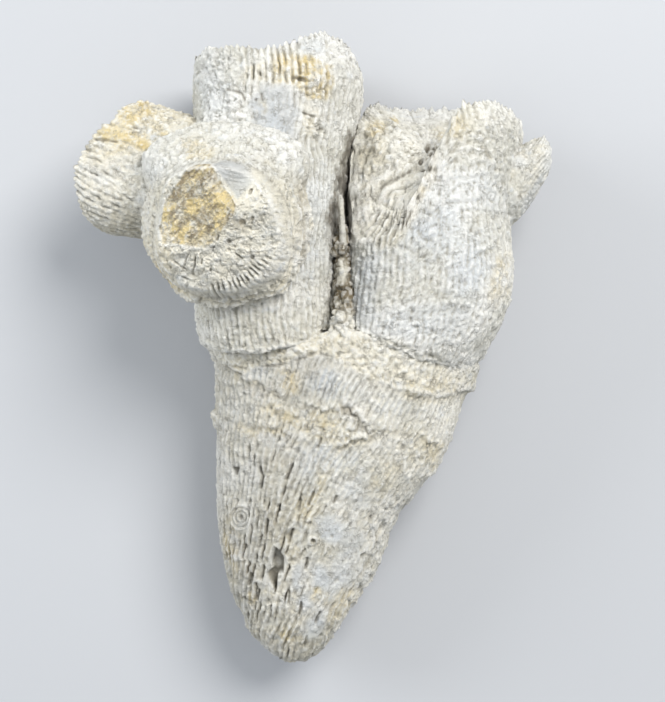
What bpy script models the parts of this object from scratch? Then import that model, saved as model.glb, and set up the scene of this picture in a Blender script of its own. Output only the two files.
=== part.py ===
"""A fossil branching coral, lying on its worn back with its front up.

A tapering trunk forks into two broken branches. The left branch carries a ribbed side lobe and a
broken front knob, and the right branch a thin spur. Each is one solid, split from the next at its fork.
The frame is in metres: +Y from the trunk's tip to the branches, +X to the right, +Z up from the surface
that the coral lies on. Sizes below are in millimetres.
"""

import math
from collections import namedtuple

import bmesh
import bpy
import numpy as np
from mathutils import Vector, noise

MM = 0.001
FORK_GAP = 0.3
RIDGE_HEIGHT = 0.6
LUMP_HEIGHT = 0.6
LUMP_SIZE = 17.0
ROUNDNESS = 2.3
EVEN_SAMPLES = 240
CUTTER_COLUMNS = 40
CUTTER_ROWS = 14

# How far in from a broken end's rim its rows stand, as shares of the way to its middle.
END_STEPS = (0.12, 0.4, 0.7, 1.0)

# A limb's section: how far along the growth axis, its two edges across it, and its back and front.
Section = namedtuple("Section", "along left right back front")
# A limb: its own axes, its sections, the height of its broken rim at points round it from the back
# (turn 0) by the right (0.25), the front (0.5) and the left (0.75), and the shape of its end.
# An end is hollowed by its sag below the straight way from its rim to its middle, or has facets. It may
# bulge to the front where it is broken low.
End = namedtuple("End", "kind middle sag bulge")
Limb = namedtuple("Limb", "name origin width growth depth sections rim start end ridges rows colour")

TRUNK_SECTIONS = [
    Section(-77.2, -6, -1.5, 12, 18.5),
    Section(-75.3, -10, 2.2, 9.5, 21.5),
    Section(-72.5, -13.4, 5, 7.5, 24),
    Section(-69, -16.2, 7.2, 6, 26.5),
    Section(-65, -18.2, 9.6, 4.8, 28.5),
    Section(-58, -20.6, 14, 3.4, 31),
    Section(-50, -21.9, 17.6, 2.4, 33.5),
    Section(-41, -23.1, 22, 1.2, 36),
    Section(-31, -23.2, 29, 0, 38),
    Section(-22, -23.2, 33.4, -0.8, 39.5),
    Section(-12, -23.1, 36.8, -1.4, 41),
    Section(-4, -23.6, 40.4, -1.6, 42),
    Section(4, -27, 43.4, -1.4, 42),
    Section(11, -22, 40, 2, 39),
]
LEFT_SECTIONS = [
    Section(-8, -24, 5, 4, 38),
    Section(0, -26.6, 6.6, 1, 42.5),
    Section(7, -27.9, 6.4, -0.6, 44.5),
    Section(15, -28.2, 6.8, -1.4, 45),
    Section(25, -28.2, 7.4, -1.6, 44.5),
    Section(36, -28.2, 8.3, -1.6, 43.5),
    Section(46, -28.2, 9.2, -1.2, 43),
    Section(56, -28.3, 11.4, -0.6, 42.5),
    Section(64, -28.6, 12.3, 0.5, 42),
    Section(70, -28.2, 11, 2, 41),
    Section(75, -26, 8.8, 3.5, 39.5),
]
RIGHT_SECTIONS = [
    Section(-16, 12, 34, 8, 34),
    Section(-8, 9, 39.5, 3, 39),
    Section(0, 7.6, 42.8, 0, 42.5),
    Section(7, 7.6, 46, -1, 44.5),
    Section(15, 8.0, 48.4, -1.5, 45.5),
    Section(24, 8.6, 48, -1.6, 45.5),
    Section(31, 9.1, 47.2, -1.4, 45),
    Section(38, 9.7, 47.8, -1, 44.5),
    Section(46, 10.4, 49.6, -0.4, 43.5),
    Section(53, 12.0, 50.4, 1, 42.5),
    Section(60, 14.0, 46, 3, 39),
]
LOBE_SECTIONS = [
    Section(-6, -9, 10, -9, 9),
    Section(6, -12.4, 15.2, -12, 12),
    Section(13, -14.2, 16, -13.5, 13),
    Section(20, -15.8, 16.4, -14, 13.5),
    Section(26, -16.4, 16.2, -13.5, 13.5),
    Section(31, -15.6, 15, -12.5, 12),
    Section(36, -13, 12, -10, 9.5),
]
KNOB_SECTIONS = [
    Section(0, -12, 12, -12, 13),
    Section(9, -17.5, 17, -16, 16.6),
    Section(17, -21.8, 19.4, -18.4, 18.6),
    Section(21, -20, 19, -17.6, 18),
    Section(26, -17.6, 18, -16, 17.2),
    Section(30, -15.4, 16.4, -14.8, 16),
    Section(33, -13.8, 14.8, -13.6, 14.6),
]
SPUR_SECTIONS = [
    Section(-9, -5, 4, -6, 6),
    Section(0, -6.5, 6, -9.5, 9.5),
    Section(10, -6, 6.2, -9.5, 10),
    Section(16, -2.8, 5.2, -8.5, 9),
    Section(20, -1.2, 2.6, -6, 6.5),
]

TRUNK_RIM = [(0.0, 9), (0.5, 9)]
LEFT_RIM = [
    (0.0, 69), (0.12, 70), (0.25, 65), (0.36, 73.5), (0.42, 73.2), (0.47, 70.4), (0.55, 69.6), (0.64, 70.4),
    (0.75, 68.8), (0.88, 68),
]
RIGHT_RIM = [
    (0.0, 60.5), (0.12, 58), (0.22, 54), (0.3, 55.5), (0.36, 57.4), (0.42, 57), (0.465, 54.5), (0.49, 47),
    (0.515, 38), (0.545, 30), (0.58, 25.4), (0.625, 24.4), (0.665, 29), (0.695, 40), (0.72, 49), (0.75, 54),
    (0.79, 57.5), (0.84, 60.5), (0.92, 60),
]
LOBE_RIM = [
    (0.0, 29), (0.12, 27.5), (0.25, 24.2), (0.32, 26), (0.39, 29), (0.46, 32.6), (0.53, 34.2), (0.6, 33),
    (0.68, 28.5), (0.75, 24), (0.88, 28.5),
]
KNOB_RIM = [
    (0.0, 32), (0.12, 31.5), (0.25, 28), (0.38, 25.5), (0.5, 25.5), (0.62, 27), (0.75, 30), (0.88, 31.5),
]
SPUR_RIM = [(0.0, 18.8), (0.25, 18.4), (0.5, 19.8), (0.75, 15.6)]

# How much of its bulge a broken end has at points round it: most over the back and the low left side.
BULGE_SHARE = [(0.0, 1), (0.12, 0.5), (0.25, 0), (0.46, 0), (0.54, 0.3), (0.66, 0.5), (0.75, 1), (0.9, 1)]

# Growth ledges round the trunk: each overhangs what is below it by its step.
Ledge = namedtuple("Ledge", "line step")
TRUNK_LEDGES = [
    Ledge([(0.0, -22), (0.25, -24), (0.37, -19.5), (0.5, -23), (0.6, -19), (0.75, -15)], 0.7),
    Ledge([(0.0, -12), (0.25, -11), (0.37, -10), (0.5, -13.5), (0.6, -8.5), (0.75, -3.6)], 1.4),
]

# Planes that part the trunk from its two branches, each by a point and its normal up the branch.
LEFT_FORK = (Vector((-10, 1.8, 22)), Vector((-0.06, 1, 0.05)).normalized())
RIGHT_FORK = (Vector((24, -2.4, 22)), Vector((0.31, 0.95, 0.06)).normalized())

# Where the built limbs stand in the finished frame, whose origin is below the middle of the coral.
CORAL_PLACE = Vector((-0.7, 1.5, 0))

# A pit worn into the trunk's front and a tube worm's ring grown on it: where, and half its size.
PIT_PLACE, PIT_REACH = Vector((-8.8, -54, 32.5)), Vector((1.7, 4.4, 3.4))
RING_PLACE, RING_FACING = Vector((-17, -40.5, 31.6)), Vector((-0.5, -0.05, 0.86))
RING_RADIUS, RING_THICKNESS = 2.7, 0.8

# The knob's broken end: facets that fall away from a crest, each by its height over the knob's middle
# and its slopes over the knob's width and depth. The lowest facet at a place is the surface there.
Facet = namedtuple("Facet", "height across along")
KNOB_FACETS = [
    Facet(5.6, 0.19, -0.12),
    Facet(8.55, -0.2, 0.12),
    Facet(8.76, 0.26, -0.6),
    Facet(6.93, -0.29, -0.48),
    Facet(17.4, 1.2, 0),
    Facet(23.1, 0.1, 1.3),
    Facet(23.5, -1.2, 0),
]
# How far along the knob its facets' heights are counted from.
KNOB_TOP = 31
KNOB_REACH = 16


def smooth_through(knots, values, at):
    """The values at `at`, on a smooth curve through (knots, values), level past its ends."""
    knots = np.asarray(knots, float)
    values = np.asarray(values, float)
    slopes = np.gradient(values, knots)
    at = np.clip(at, knots[0], knots[-1])
    i = np.clip(np.searchsorted(knots, at, side="right") - 1, 0, len(knots) - 2)
    step = knots[i + 1] - knots[i]
    f = (at - knots[i]) / step
    rise = values[i + 1] - values[i]
    bend_in = slopes[i] * step - rise
    bend_out = rise - slopes[i + 1] * step
    return values[i] + f * rise + f * (1 - f) * ((1 - f) * bend_in + f * bend_out)


def round_limb(points, turn):
    """The values at `turn`, on a smooth closed curve through (turn, value) points round a limb."""
    points = [(t - 1, v) for t, v in points] + list(points) + [(t + 1, v) for t, v in points]
    return smooth_through([t for t, _ in points], [v for _, v in points], turn)


def rounded(angle, edge):
    """A rounded box's reach at an angle, as a superellipse."""
    return np.sign(edge) * np.abs(edge) ** (2 / ROUNDNESS)


def even_angles(turns, half_width, half_depth):
    """The angles that space points evenly round a section, with turn 0 at the back."""
    angle = np.linspace(-0.5 * math.pi, 1.5 * math.pi, EVEN_SAMPLES + 1)
    x = half_width * rounded(angle, np.cos(angle))
    z = half_depth * rounded(angle, np.sin(angle))
    run = np.concatenate([[0], np.cumsum(np.hypot(np.diff(x), np.diff(z)))])
    return np.interp(turns * run[-1], run, angle)


def section_points(limb, along, turns, lift, shrink=1.0):
    """Points round a limb, at the height `along` each, `lift` outside its section, or shrunk to its core."""
    knots = [s.along for s in limb.sections]
    left, right, back, front = (
        smooth_through(knots, [getattr(s, side) for s in limb.sections], along)
        for side in ("left", "right", "back", "front")
    )
    half_width, half_depth = (right - left) / 2, (front - back) / 2
    angle = even_angles(turns, half_width.mean(), half_depth.mean())
    x = (left + right) / 2 + shrink * (half_width + lift) * rounded(angle, np.cos(angle))
    z = (back + front) / 2 + shrink * (half_depth + lift) * rounded(angle, np.sin(angle))
    axes = np.array([limb.width, limb.growth, limb.depth])
    return np.stack([x, along, z], axis=-1) @ axes + np.array(limb.origin)


def lumps(points):
    """The natural unevenness of the coral: a slow noise over its surface."""
    return np.array([noise.noise(Vector(p) / LUMP_SIZE) for p in points]) * LUMP_HEIGHT


def ridge_lift(count, columns):
    """Ribs along the limb: every other column stands out."""
    return RIDGE_HEIGHT * (np.arange(columns) % 2) if count else np.zeros(columns)


def ledge_rows(limb, turns, low, high, rows):
    """The trunk's rows, with a close pair of rows at each ledge, and how far each row stands out."""
    lines = [round_limb(ledge.line, turns) for ledge in TRUNK_LEDGES]
    steps = [ledge.step for ledge in TRUNK_LEDGES]
    made = [(low + f * (lines[0] - 0.5 - low), 0.0) for f in np.linspace(0, 1, rows) ** 0.8]
    made.append((lines[0] + 0.4, steps[0]))
    between = lines[1] - 0.5 - (lines[0] + 0.4)
    made += [(lines[0] + 0.4 + f * between, steps[0] * (1 - f)) for f in (0.35, 0.7, 1.0)]
    made.append((lines[1] + 0.5, steps[1]))
    made.append((lines[1] + 0.5 + 0.5 * (high - lines[1] - 0.5), steps[1] * 0.5))
    made.append((high, 0.0))
    return made


def end_rows(limb, rim, turns, grow):
    """The rows of a limb's broken end, from its rim to its middle, as lists of points."""
    edge = section_points(limb, rim + grow, turns, grow)
    axes = np.array([limb.width, limb.growth, limb.depth])
    growth = np.array(limb.growth)
    ribs = RIDGE_HEIGHT * (np.arange(len(turns)) % 2)
    if limb.end.middle:
        middle = np.array(limb.end.middle) @ axes + np.array(limb.origin)
    else:
        middle = edge.mean(axis=0)
    angle = 2 * math.pi * turns - math.pi / 2
    bulge = limb.end.bulge * round_limb(BULGE_SHARE, turns)[:, None] * np.array(limb.depth)
    rows = []
    for inward in END_STEPS:
        share = 1 - inward
        points = edge * share + middle * inward
        if limb.end.kind == "facets":
            x, z = KNOB_REACH * share * np.cos(angle), KNOB_REACH * share * np.sin(angle)
            fall = np.min([f.height + f.across * x + f.along * z for f in KNOB_FACETS], axis=0)
            along = (points - np.array(limb.origin)) @ growth
            lift = np.clip(KNOB_TOP + fall - along, 0, None) * min(1, 5 * inward) + 0.3 * ribs * share
        else:
            lift = 1.2 * ribs * share - limb.end.sag * 4 * inward * share
            points = points + bulge * 4 * inward * share
        rows.append(points + lift[:, None] * growth)
    return rows


def limb_rows(limb, columns, row_count, grow=0.0, plain=False):
    """All the rows of points of a limb, from its buried start to the middle of its end."""
    turns = np.arange(columns) / columns
    ribs = np.zeros(columns) if plain else ridge_lift(limb.ridges, columns)
    rim = round_limb(limb.rim, turns)
    if limb.name == "trunk" and not plain:
        body = ledge_rows(limb, turns, limb.start, rim, row_count)
    else:
        body = [(limb.start + f * (rim - limb.start), 0.0) for f in np.linspace(0, 1, row_count)]
    rows = []
    for index, (along, out) in enumerate(body):
        along = np.broadcast_to(along, turns.shape) + (grow * (2 * index / (len(body) - 1) - 1))
        points = section_points(limb, along, turns, ribs + out + grow)
        middle = points.mean(axis=0)
        outward = points - middle
        outward /= np.linalg.norm(outward, axis=1)[:, None]
        rows.append(points + outward * lumps(points)[:, None])
    return rows + end_rows(limb, rim, turns, grow)


def limb_object(limb, name, columns, row_count, grow=0.0, plain=False):
    """A closed mesh object through a limb's rows, in metres."""
    rows = limb_rows(limb, columns, row_count, grow, plain)
    bm = bmesh.new()
    rings = [[bm.verts.new(Vector(p) * MM) for p in row] for row in rows[:-1]]
    tip = bm.verts.new(Vector(rows[-1].mean(axis=0)) * MM)
    for low, high in zip(rings, rings[1:]):
        for i in range(columns):
            j = (i + 1) % columns
            bm.faces.new((low[i], low[j], high[j], high[i]))
    for i in range(columns):
        bm.faces.new((rings[-1][i], rings[-1][(i + 1) % columns], tip))
    start = bm.verts.new(Vector(rows[0].mean(axis=0)) * MM)
    for i in range(columns):
        bm.faces.new((rings[0][(i + 1) % columns], rings[0][i], start))
    bmesh.ops.triangulate(bm, faces=bm.faces[:])
    bmesh.ops.recalc_face_normals(bm, faces=bm.faces[:])
    mesh = bpy.data.meshes.new(name)
    bm.to_mesh(mesh)
    bm.free()
    return bpy.data.objects.new(name, mesh)


def cut_flat(obj, point, normal):
    """Cuts off the side of obj that the normal points to, and closes it with a flat face. In millimetres."""
    bm = bmesh.new()
    bm.from_mesh(obj.data)
    cut = bmesh.ops.bisect_plane(
        bm,
        geom=bm.verts[:] + bm.edges[:] + bm.faces[:],
        dist=1e-6,
        plane_co=Vector(point) * MM,
        plane_no=Vector(normal),
        clear_outer=True,
    )
    edges = [e for e in cut["geom_cut"] if isinstance(e, bmesh.types.BMEdge)]
    filled = bmesh.ops.holes_fill(bm, edges=edges, sides=0)
    bmesh.ops.triangulate(bm, faces=filled["faces"])
    bmesh.ops.recalc_face_normals(bm, faces=bm.faces[:])
    bm.to_mesh(obj.data)
    bm.free()


def carve(obj, limb, cutters):
    """Leaves room in obj for another limb, with the fork's gap round its ribs."""
    grow = RIDGE_HEIGHT + FORK_GAP
    name = f"room_for_{limb.name}_in_{obj.name}"
    cutter = limb_object(limb, name, CUTTER_COLUMNS, CUTTER_ROWS, grow, plain=True)
    join_or_cut(obj, cutter, "DIFFERENCE", cutters)


def join_or_cut(obj, tool, operation, cutters):
    """Keeps a hidden tool in the cutters, and joins it to obj or cuts obj with it."""
    cutters.objects.link(tool)
    tool.hide_render = True
    tool.display_type = "WIRE"
    modifier = obj.modifiers.new(tool.name, "BOOLEAN")
    modifier.operation = operation
    modifier.solver = "EXACT"
    modifier.object = tool


def pit_tool():
    """The long round hole, as a solid."""
    bm = bmesh.new()
    bmesh.ops.create_uvsphere(bm, u_segments=12, v_segments=8, radius=1)
    bmesh.ops.scale(bm, vec=PIT_REACH * MM, verts=bm.verts)
    bmesh.ops.translate(bm, vec=PIT_PLACE * MM, verts=bm.verts)
    mesh = bpy.data.meshes.new("pit")
    bm.to_mesh(mesh)
    bm.free()
    return bpy.data.objects.new("pit", mesh)


def ring_tool():
    """The ring, as a solid that is half sunk in the trunk."""
    bpy.ops.mesh.primitive_torus_add(
        major_segments=14,
        minor_segments=6,
        major_radius=RING_RADIUS * MM,
        minor_radius=RING_THICKNESS * MM,
        location=RING_PLACE * MM,
        rotation=RING_FACING.to_track_quat("Z", "Y").to_euler(),
    )
    ring = bpy.context.object
    ring.name = "ring"
    for collection in list(ring.users_collection):
        collection.objects.unlink(ring)
    return ring


def stone(name, colour):
    """A matt stone of one colour."""
    material = bpy.data.materials.new(name)
    material.use_nodes = True
    shader = material.node_tree.nodes["Principled BSDF"]
    shader.inputs["Base Color"].default_value = (*colour, 1)
    shader.inputs["Roughness"].default_value = 0.85
    shader.inputs["Metallic"].default_value = 0
    return material


X, Y, Z = (1, 0, 0), (0, 1, 0), (0, 0, 1)


def tilted(growth, width):
    """A limb's axes: along its growth, across it nearest to `width`, and the third at right angles."""
    growth = Vector(growth).normalized()
    width = Vector(width)
    width = (width - width.dot(growth) * growth).normalized()
    return tuple(width), tuple(growth), tuple(width.cross(growth))


LOBE_AXES = ((0.303, 0.953, 0), (-0.953, 0.303, 0), Z)
SPUR_AXES = ((0.819, -0.573, 0), (0.573, 0.819, 0), Z)
KNOB_WIDTH, KNOB_GROWTH, KNOB_DEPTH = tilted((-0.22, -0.05, 0.975), X)

LIMBS = [
    Limb(
        "trunk", (0, 0, 0), X, Y, Z, TRUNK_SECTIONS, TRUNK_RIM, -77.2,
        End("hollow", None, 0, 0), 50, 8, (0.52, 0.50, 0.44),
    ),
    Limb(
        "left_branch", (0, 0, 0), X, Y, Z, LEFT_SECTIONS, LEFT_RIM, -7,
        End("hollow", (-8, 66.5, 20), 3, 0), 38, 9, (0.68, 0.69, 0.67),
    ),
    Limb(
        "right_branch", (0, 0, 0), X, Y, Z, RIGHT_SECTIONS, RIGHT_RIM, -14,
        End("hollow", (27.5, 46.5, 32), 2, 6), 40, 10, (0.71, 0.72, 0.71),
    ),
    Limb(
        "side_lobe", (-22, 36, 24), *LOBE_AXES, LOBE_SECTIONS, LOBE_RIM, -4,
        End("hollow", (0, 29, 0), 2.5, 0), 22, 6, (0.65, 0.60, 0.50),
    ),
    Limb(
        "front_knob", (-14.8, 29.5, 26), KNOB_WIDTH, KNOB_GROWTH, KNOB_DEPTH, KNOB_SECTIONS, KNOB_RIM, 2,
        End("facets", None, 0, 0), 28, 6, (0.58, 0.50, 0.36),
    ),
    Limb(
        "right_spur", (44, 34, 22), *SPUR_AXES, SPUR_SECTIONS, SPUR_RIM, -7,
        End("hollow", (0.5, 17.5, 0), 1.5, 0), 16, 5, (0.76, 0.75, 0.72),
    ),
]


def main():
    for old in list(bpy.data.objects):
        bpy.data.objects.remove(old)
    scene = bpy.context.scene.collection
    coral = bpy.data.collections.new("fossil_coral")
    cutters = bpy.data.collections.new("cutters")
    scene.children.link(coral)
    scene.children.link(cutters)
    limbs = {limb.name: limb for limb in LIMBS}
    made = {limb.name: limb_object(limb, limb.name, 2 * limb.ridges, limb.rows) for limb in LIMBS}
    for name, obj in made.items():
        coral.objects.link(obj)
        obj.data.materials.append(stone(f"{name}_stone", limbs[name].colour))
    for point, normal in (LEFT_FORK, RIGHT_FORK):
        cut_flat(made["trunk"], point, normal)
    for name, (point, normal) in (("left_branch", LEFT_FORK), ("right_branch", RIGHT_FORK)):
        cut_flat(made[name], point + FORK_GAP * normal, -normal)
    for name in ("trunk", "left_branch", "right_branch"):
        cut_flat(made[name], (0, 0, 0), (0, 0, -1))
    carve(made["side_lobe"], limbs["left_branch"], cutters)
    carve(made["side_lobe"], limbs["front_knob"], cutters)
    carve(made["front_knob"], limbs["left_branch"], cutters)
    carve(made["right_spur"], limbs["right_branch"], cutters)
    join_or_cut(made["trunk"], ring_tool(), "UNION", cutters)
    join_or_cut(made["trunk"], pit_tool(), "DIFFERENCE", cutters)
    place = bpy.data.objects.new("coral_place", None)
    place.location = CORAL_PLACE * MM
    scene.objects.link(place)
    for obj in list(coral.objects) + list(cutters.objects):
        obj.parent = place


main()
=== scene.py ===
"""The finished look of a fossil branching coral that lies on its worn back.

Each limb is a fine loft round its solid's sections, with costae (the ribs), beads, growth ledges,
crusts, slits and broken ends raised in its mesh, and stains and painted shade laid over it as
attributes. The trunk's tip is a little narrower than its solid's, and the right branch's left side and
the knob's end differ too.
"""

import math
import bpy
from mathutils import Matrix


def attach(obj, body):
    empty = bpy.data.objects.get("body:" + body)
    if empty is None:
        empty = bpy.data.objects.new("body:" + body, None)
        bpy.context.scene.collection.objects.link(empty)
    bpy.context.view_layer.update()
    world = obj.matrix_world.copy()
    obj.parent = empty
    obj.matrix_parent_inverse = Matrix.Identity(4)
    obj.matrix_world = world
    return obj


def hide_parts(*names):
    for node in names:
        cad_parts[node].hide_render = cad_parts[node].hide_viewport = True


bl_info = {
    "name": "Fossil Branching Coral",
    "version": (1, 0, 0),
    "blender": (4, 5, 0),
    "location": "View3D > Sidebar > Fossil Coral",
    "description": "Builds a fossil branching coral, limb by limb, and the stage that it lies on",
    "category": "Add Mesh",
}

from itertools import product
from types import SimpleNamespace

import bpy
import numpy as np
from bpy.props import FloatProperty, FloatVectorProperty, PointerProperty
from bpy.types import Operator, Panel, PropertyGroup
from mathutils import Vector

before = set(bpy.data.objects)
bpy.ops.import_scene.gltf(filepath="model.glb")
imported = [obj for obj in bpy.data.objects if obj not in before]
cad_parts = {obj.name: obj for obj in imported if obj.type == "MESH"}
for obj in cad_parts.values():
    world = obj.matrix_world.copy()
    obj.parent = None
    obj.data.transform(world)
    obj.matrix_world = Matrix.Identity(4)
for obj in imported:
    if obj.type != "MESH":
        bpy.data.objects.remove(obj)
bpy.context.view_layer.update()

MM = 0.001
TAU = 2 * math.pi
# Where the built limbs stand in the frame, whose origin is below the middle of the coral, in mm.
CORAL_PLACE = np.array((-0.7, 1.5, 0.0))

# ---------------------------------------------------------------------------------------------------
# The limbs' sections: (along the growth, left, right, back, front), in mm.

TRUNK_SECTIONS = [
    (-77.2, -6, -2, 12, 18.5), (-75.3, -9.6, 0.8, 9.5, 21.5), (-72.5, -12.6, 3.2, 7.5, 24),
    (-69, -15.4, 5.6, 6, 26.5), (-65, -17.2, 8.2, 4.8, 28.5), (-58, -20.4, 13.2, 3.4, 31),
    (-50, -21.9, 17.2, 2.4, 33.5), (-41, -23.1, 20.4, 1.2, 36), (-31, -23.2, 28.4, 0, 38),
    (-22, -23.2, 33.4, -0.8, 39.5), (-12, -23.1, 36.8, -1.4, 41), (-4, -23.6, 40.4, -1.6, 42),
    (4, -27, 43.4, -1.4, 42), (11, -22, 40, 2, 39),
]
LEFT_SECTIONS = [
    (-8, -24, 5, 4, 38), (0, -26.6, 6.6, 1, 42.5), (7, -27.9, 6.4, -0.6, 44.5), (15, -28.2, 6.8, -1.4, 45),
    (25, -28.2, 7.4, -1.6, 44.5), (36, -28.2, 8.3, -1.6, 43.5), (46, -28.2, 9.2, -1.2, 43),
    (56, -28.3, 11.4, -0.6, 42.5), (64, -28.6, 12.3, 0.5, 42), (70, -28.2, 11, 2, 41),
    (75, -26, 8.8, 3.5, 39.5),
]
RIGHT_SECTIONS = [
    (-16, 12, 34, 8, 34), (-8, 9, 39.5, 3, 39), (0, 7.6, 42.8, 0, 42.5), (7, 7.6, 46, -1, 44.5),
    (15, 8, 48.4, -1.5, 45.5), (24, 8.6, 48, -1.6, 45.5), (31, 8.7, 47.2, -1.4, 45),
    (38, 8.9, 47.8, -1, 44.5), (46, 9.1, 49.6, -0.4, 43.5), (53, 11, 50.4, 1, 42.5), (60, 14, 46, 3, 39),
]
LOBE_SECTIONS = [
    (-6, -9, 10, -9, 9), (6, -12.4, 15.2, -12, 12), (13, -14.2, 16, -13.5, 13), (20, -15.8, 16.4, -14, 13.5),
    (26, -16.4, 16.2, -13.5, 13.5), (31, -15.6, 15, -12.5, 12), (36, -13, 12, -10, 9.5),
]
KNOB_SECTIONS = [
    (0, -12, 12, -12, 13), (9, -17.5, 17, -16, 16.6), (17, -21.8, 19.4, -18.4, 18.6),
    (21, -20, 19, -17.6, 18), (26, -17.6, 18, -16, 17.2), (30, -15.4, 16.4, -14.8, 16),
    (33, -13.8, 14.8, -13.6, 14.6),
]
SPUR_SECTIONS = [
    (-9, -5, 4, -6, 6), (0, -6.5, 6, -9.5, 9.5), (10, -6, 6.2, -9.5, 10), (16, -2.8, 5.2, -8.5, 9),
    (20, -1.2, 2.6, -6, 6.5),
]
# The sediment that is packed between the branches, and the stub of a thin branchlet that stands in it.
SEDIMENT_SECTIONS = [
    (-5, 3.2, 10.4, 24, 38.5), (-1, 3.4, 10.4, 26, 41), (4, 4.2, 10.6, 26, 41.8), (9, 5, 10.6, 26, 41),
    (14, 5.4, 10, 26, 39.4), (20, 5.2, 9, 26, 38.4), (25, 5, 8.8, 26, 37.6), (29, 5.4, 8.4, 24, 33),
    (33, 6, 8.4, 22, 27), (41, 6.4, 8.6, 20, 24),
]
ROD_SECTIONS = [
    (-4, -0.85, 0.85, -1.6, 0.8), (2, -0.8, 0.8, -1.6, 0.95), (7, -0.68, 0.72, -1.4, 0.9),
    (9.6, -0.55, 0.6, -1, 0.6), (10.4, -0.25, 0.25, -0.6, 0.2),
]
# How far along each limb its broken rim stands, at points round it from the back (0) by the right (0.25).
TRUNK_RIM = [(0, 9), (0.5, 9)]
LEFT_RIM = [
    (0, 69), (0.12, 70), (0.25, 65), (0.36, 73.5), (0.42, 73.2), (0.47, 70.4), (0.55, 69.6), (0.64, 70.4),
    (0.75, 68.8), (0.88, 68),
]
RIGHT_RIM = [
    (0, 60.5), (0.12, 58), (0.22, 54), (0.3, 55.5), (0.36, 57.4), (0.42, 57), (0.465, 54.5), (0.49, 47),
    (0.515, 38), (0.545, 30), (0.58, 25.4), (0.625, 24.4), (0.66, 28), (0.685, 38), (0.71, 48), (0.74, 54),
    (0.79, 57.5), (0.84, 60.5), (0.92, 60),
]
LOBE_RIM = [
    (0, 29), (0.12, 27.5), (0.25, 24.2), (0.32, 26), (0.39, 29), (0.46, 32.6), (0.53, 34.2), (0.6, 33),
    (0.68, 28.5), (0.75, 24), (0.88, 28.5),
]
KNOB_RIM = [
    (0, 32), (0.12, 31.5), (0.25, 28), (0.38, 25.5), (0.5, 25.5), (0.62, 27), (0.75, 30), (0.88, 31.5),
]
SPUR_RIM = [(0, 18.8), (0.25, 18.4), (0.5, 19.8), (0.75, 15.6)]
ROUNDNESS = 2.3

# The knob's broken end: (height over its middle, slope over its width, slope over its depth).
KNOB_FACETS = [
    (5.6, 0.19, -0.12), (8.55, -0.2, 0.12), (8.76, 0.26, -0.6), (6.93, -0.29, -0.48), (17.4, 1.2, 0),
    (24.8, 0.1, 1.3), (23.5, -1.2, 0),
]
KNOB_REACH = 16
# The middle and radius of its foot, over the branch and the lobe that it grows from.
KNOB_FOOT = (-19.8, 28.4, 17.5)
KNOB_TOP = 31
# The knob's stained face and its smooth hollow, by their corners round its middle: across it, and down it.
FACET_OUTLINE = [
    (-5.2, -11.6), (-3.2, -12.8), (-0.1, -12.4), (2.2, -8.6), (5.4, -3.5), (4.6, -0.8), (2.35, 1.8),
    (0.6, 4.4), (-1.9, 6), (-6.4, 5.2), (-11.3, 4.7), (-12.3, 1.2), (-11, -3.4), (-8.8, -7.2),
]
HOLLOW_OUTLINE = [
    (-0.1, -12.4), (2.35, -13.9), (6.6, -13.3), (10.8, -13.8), (13.3, -12.4), (13.9, -10.7), (12.7, -8.8),
    (8.4, -7.55), (6.9, -6), (5.7, -4.6),
]

# Creases and ledges over the front, as lines of (X, Y) from left to right.
LEFT_CREASE = [
    (-26.3, 0.6), (-22.8, -0.8), (-17.3, -1.5), (-11.9, -1.4), (-7.5, -0.3), (-2.6, 0.5), (2.3, 2.3),
    (4.5, 3.5), (6.5, 5),
]
RIGHT_CREASE = [
    (6.5, 5), (9, 3), (11.5, 2), (15.1, 1), (19.1, 0.4), (22.3, -0.8), (24.5, -2.6), (27.7, -3.1),
    (30.8, -4.3), (36, -5.2), (42, -6),
]
COLLAR_CREASE = [
    (-23.4, -2.6), (-18.5, -4.3), (-14.8, -5.4), (-11.9, -4.6), (-7.5, -4.3), (-2, -2.8), (1, -1.5),
    (4.4, -2.2),
]
UPPER_LEDGE = [
    (4.4, -2.6), (7, -4.4), (11.1, -6.6), (15.2, -8.2), (19.2, -9.6), (23.7, -11.2), (29.6, -11.6),
    (33.2, -11.3), (38.5, -10.6),
]
MIDDLE_LEDGE = [
    (-23.8, -3), (-17.4, -5.9), (-11.7, -9), (-5.3, -11.9), (-2.1, -13), (2.3, -14.1), (7, -15),
    (13.3, -17.9), (18, -19.1), (22.4, -19.8), (27, -21.8), (31, -25), (33.4, -27),
]
LOWER_LEDGE = [
    (-23.8, -17.1), (-17.4, -17.4), (-11.9, -19), (-6.4, -20.1), (-3.7, -21.7), (0.1, -22.8), (4.5, -23.1),
    (7, -22.8), (11, -21.7), (14.3, -20.6),
]


def axes_of(width, growth, depth):
    return np.array([width, growth, depth], float)


def tilted(growth, width):
    """A limb's axes: across it nearest to `width`, along its growth, and the third at right angles."""
    growth = Vector(growth).normalized()
    width = Vector(width)
    width = (width - width.dot(growth) * growth).normalized()
    return axes_of(width, growth, width.cross(growth))


LOBE_AXES = axes_of((0.303, 0.953, 0), (-0.953, 0.303, 0), (0, 0, 1))
SPUR_AXES = axes_of((0.819, -0.573, 0), (0.573, 0.819, 0), (0, 0, 1))
ROD_AXES = axes_of((0.99, 0.06, 0), (-0.06, 0.99, 0), (0, 0, 1))
KNOB_AXES = tilted((-0.22, -0.05, 0.975), (1, 0, 0))

# How much of its bulge a broken end has at points round it: most over the back and the low left side.
BULGE_SHARE = [(0, 1), (0.12, 0.5), (0.25, 0), (0.46, 0), (0.54, 0.3), (0.66, 0.5), (0.75, 1), (0.9, 1)]

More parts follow.
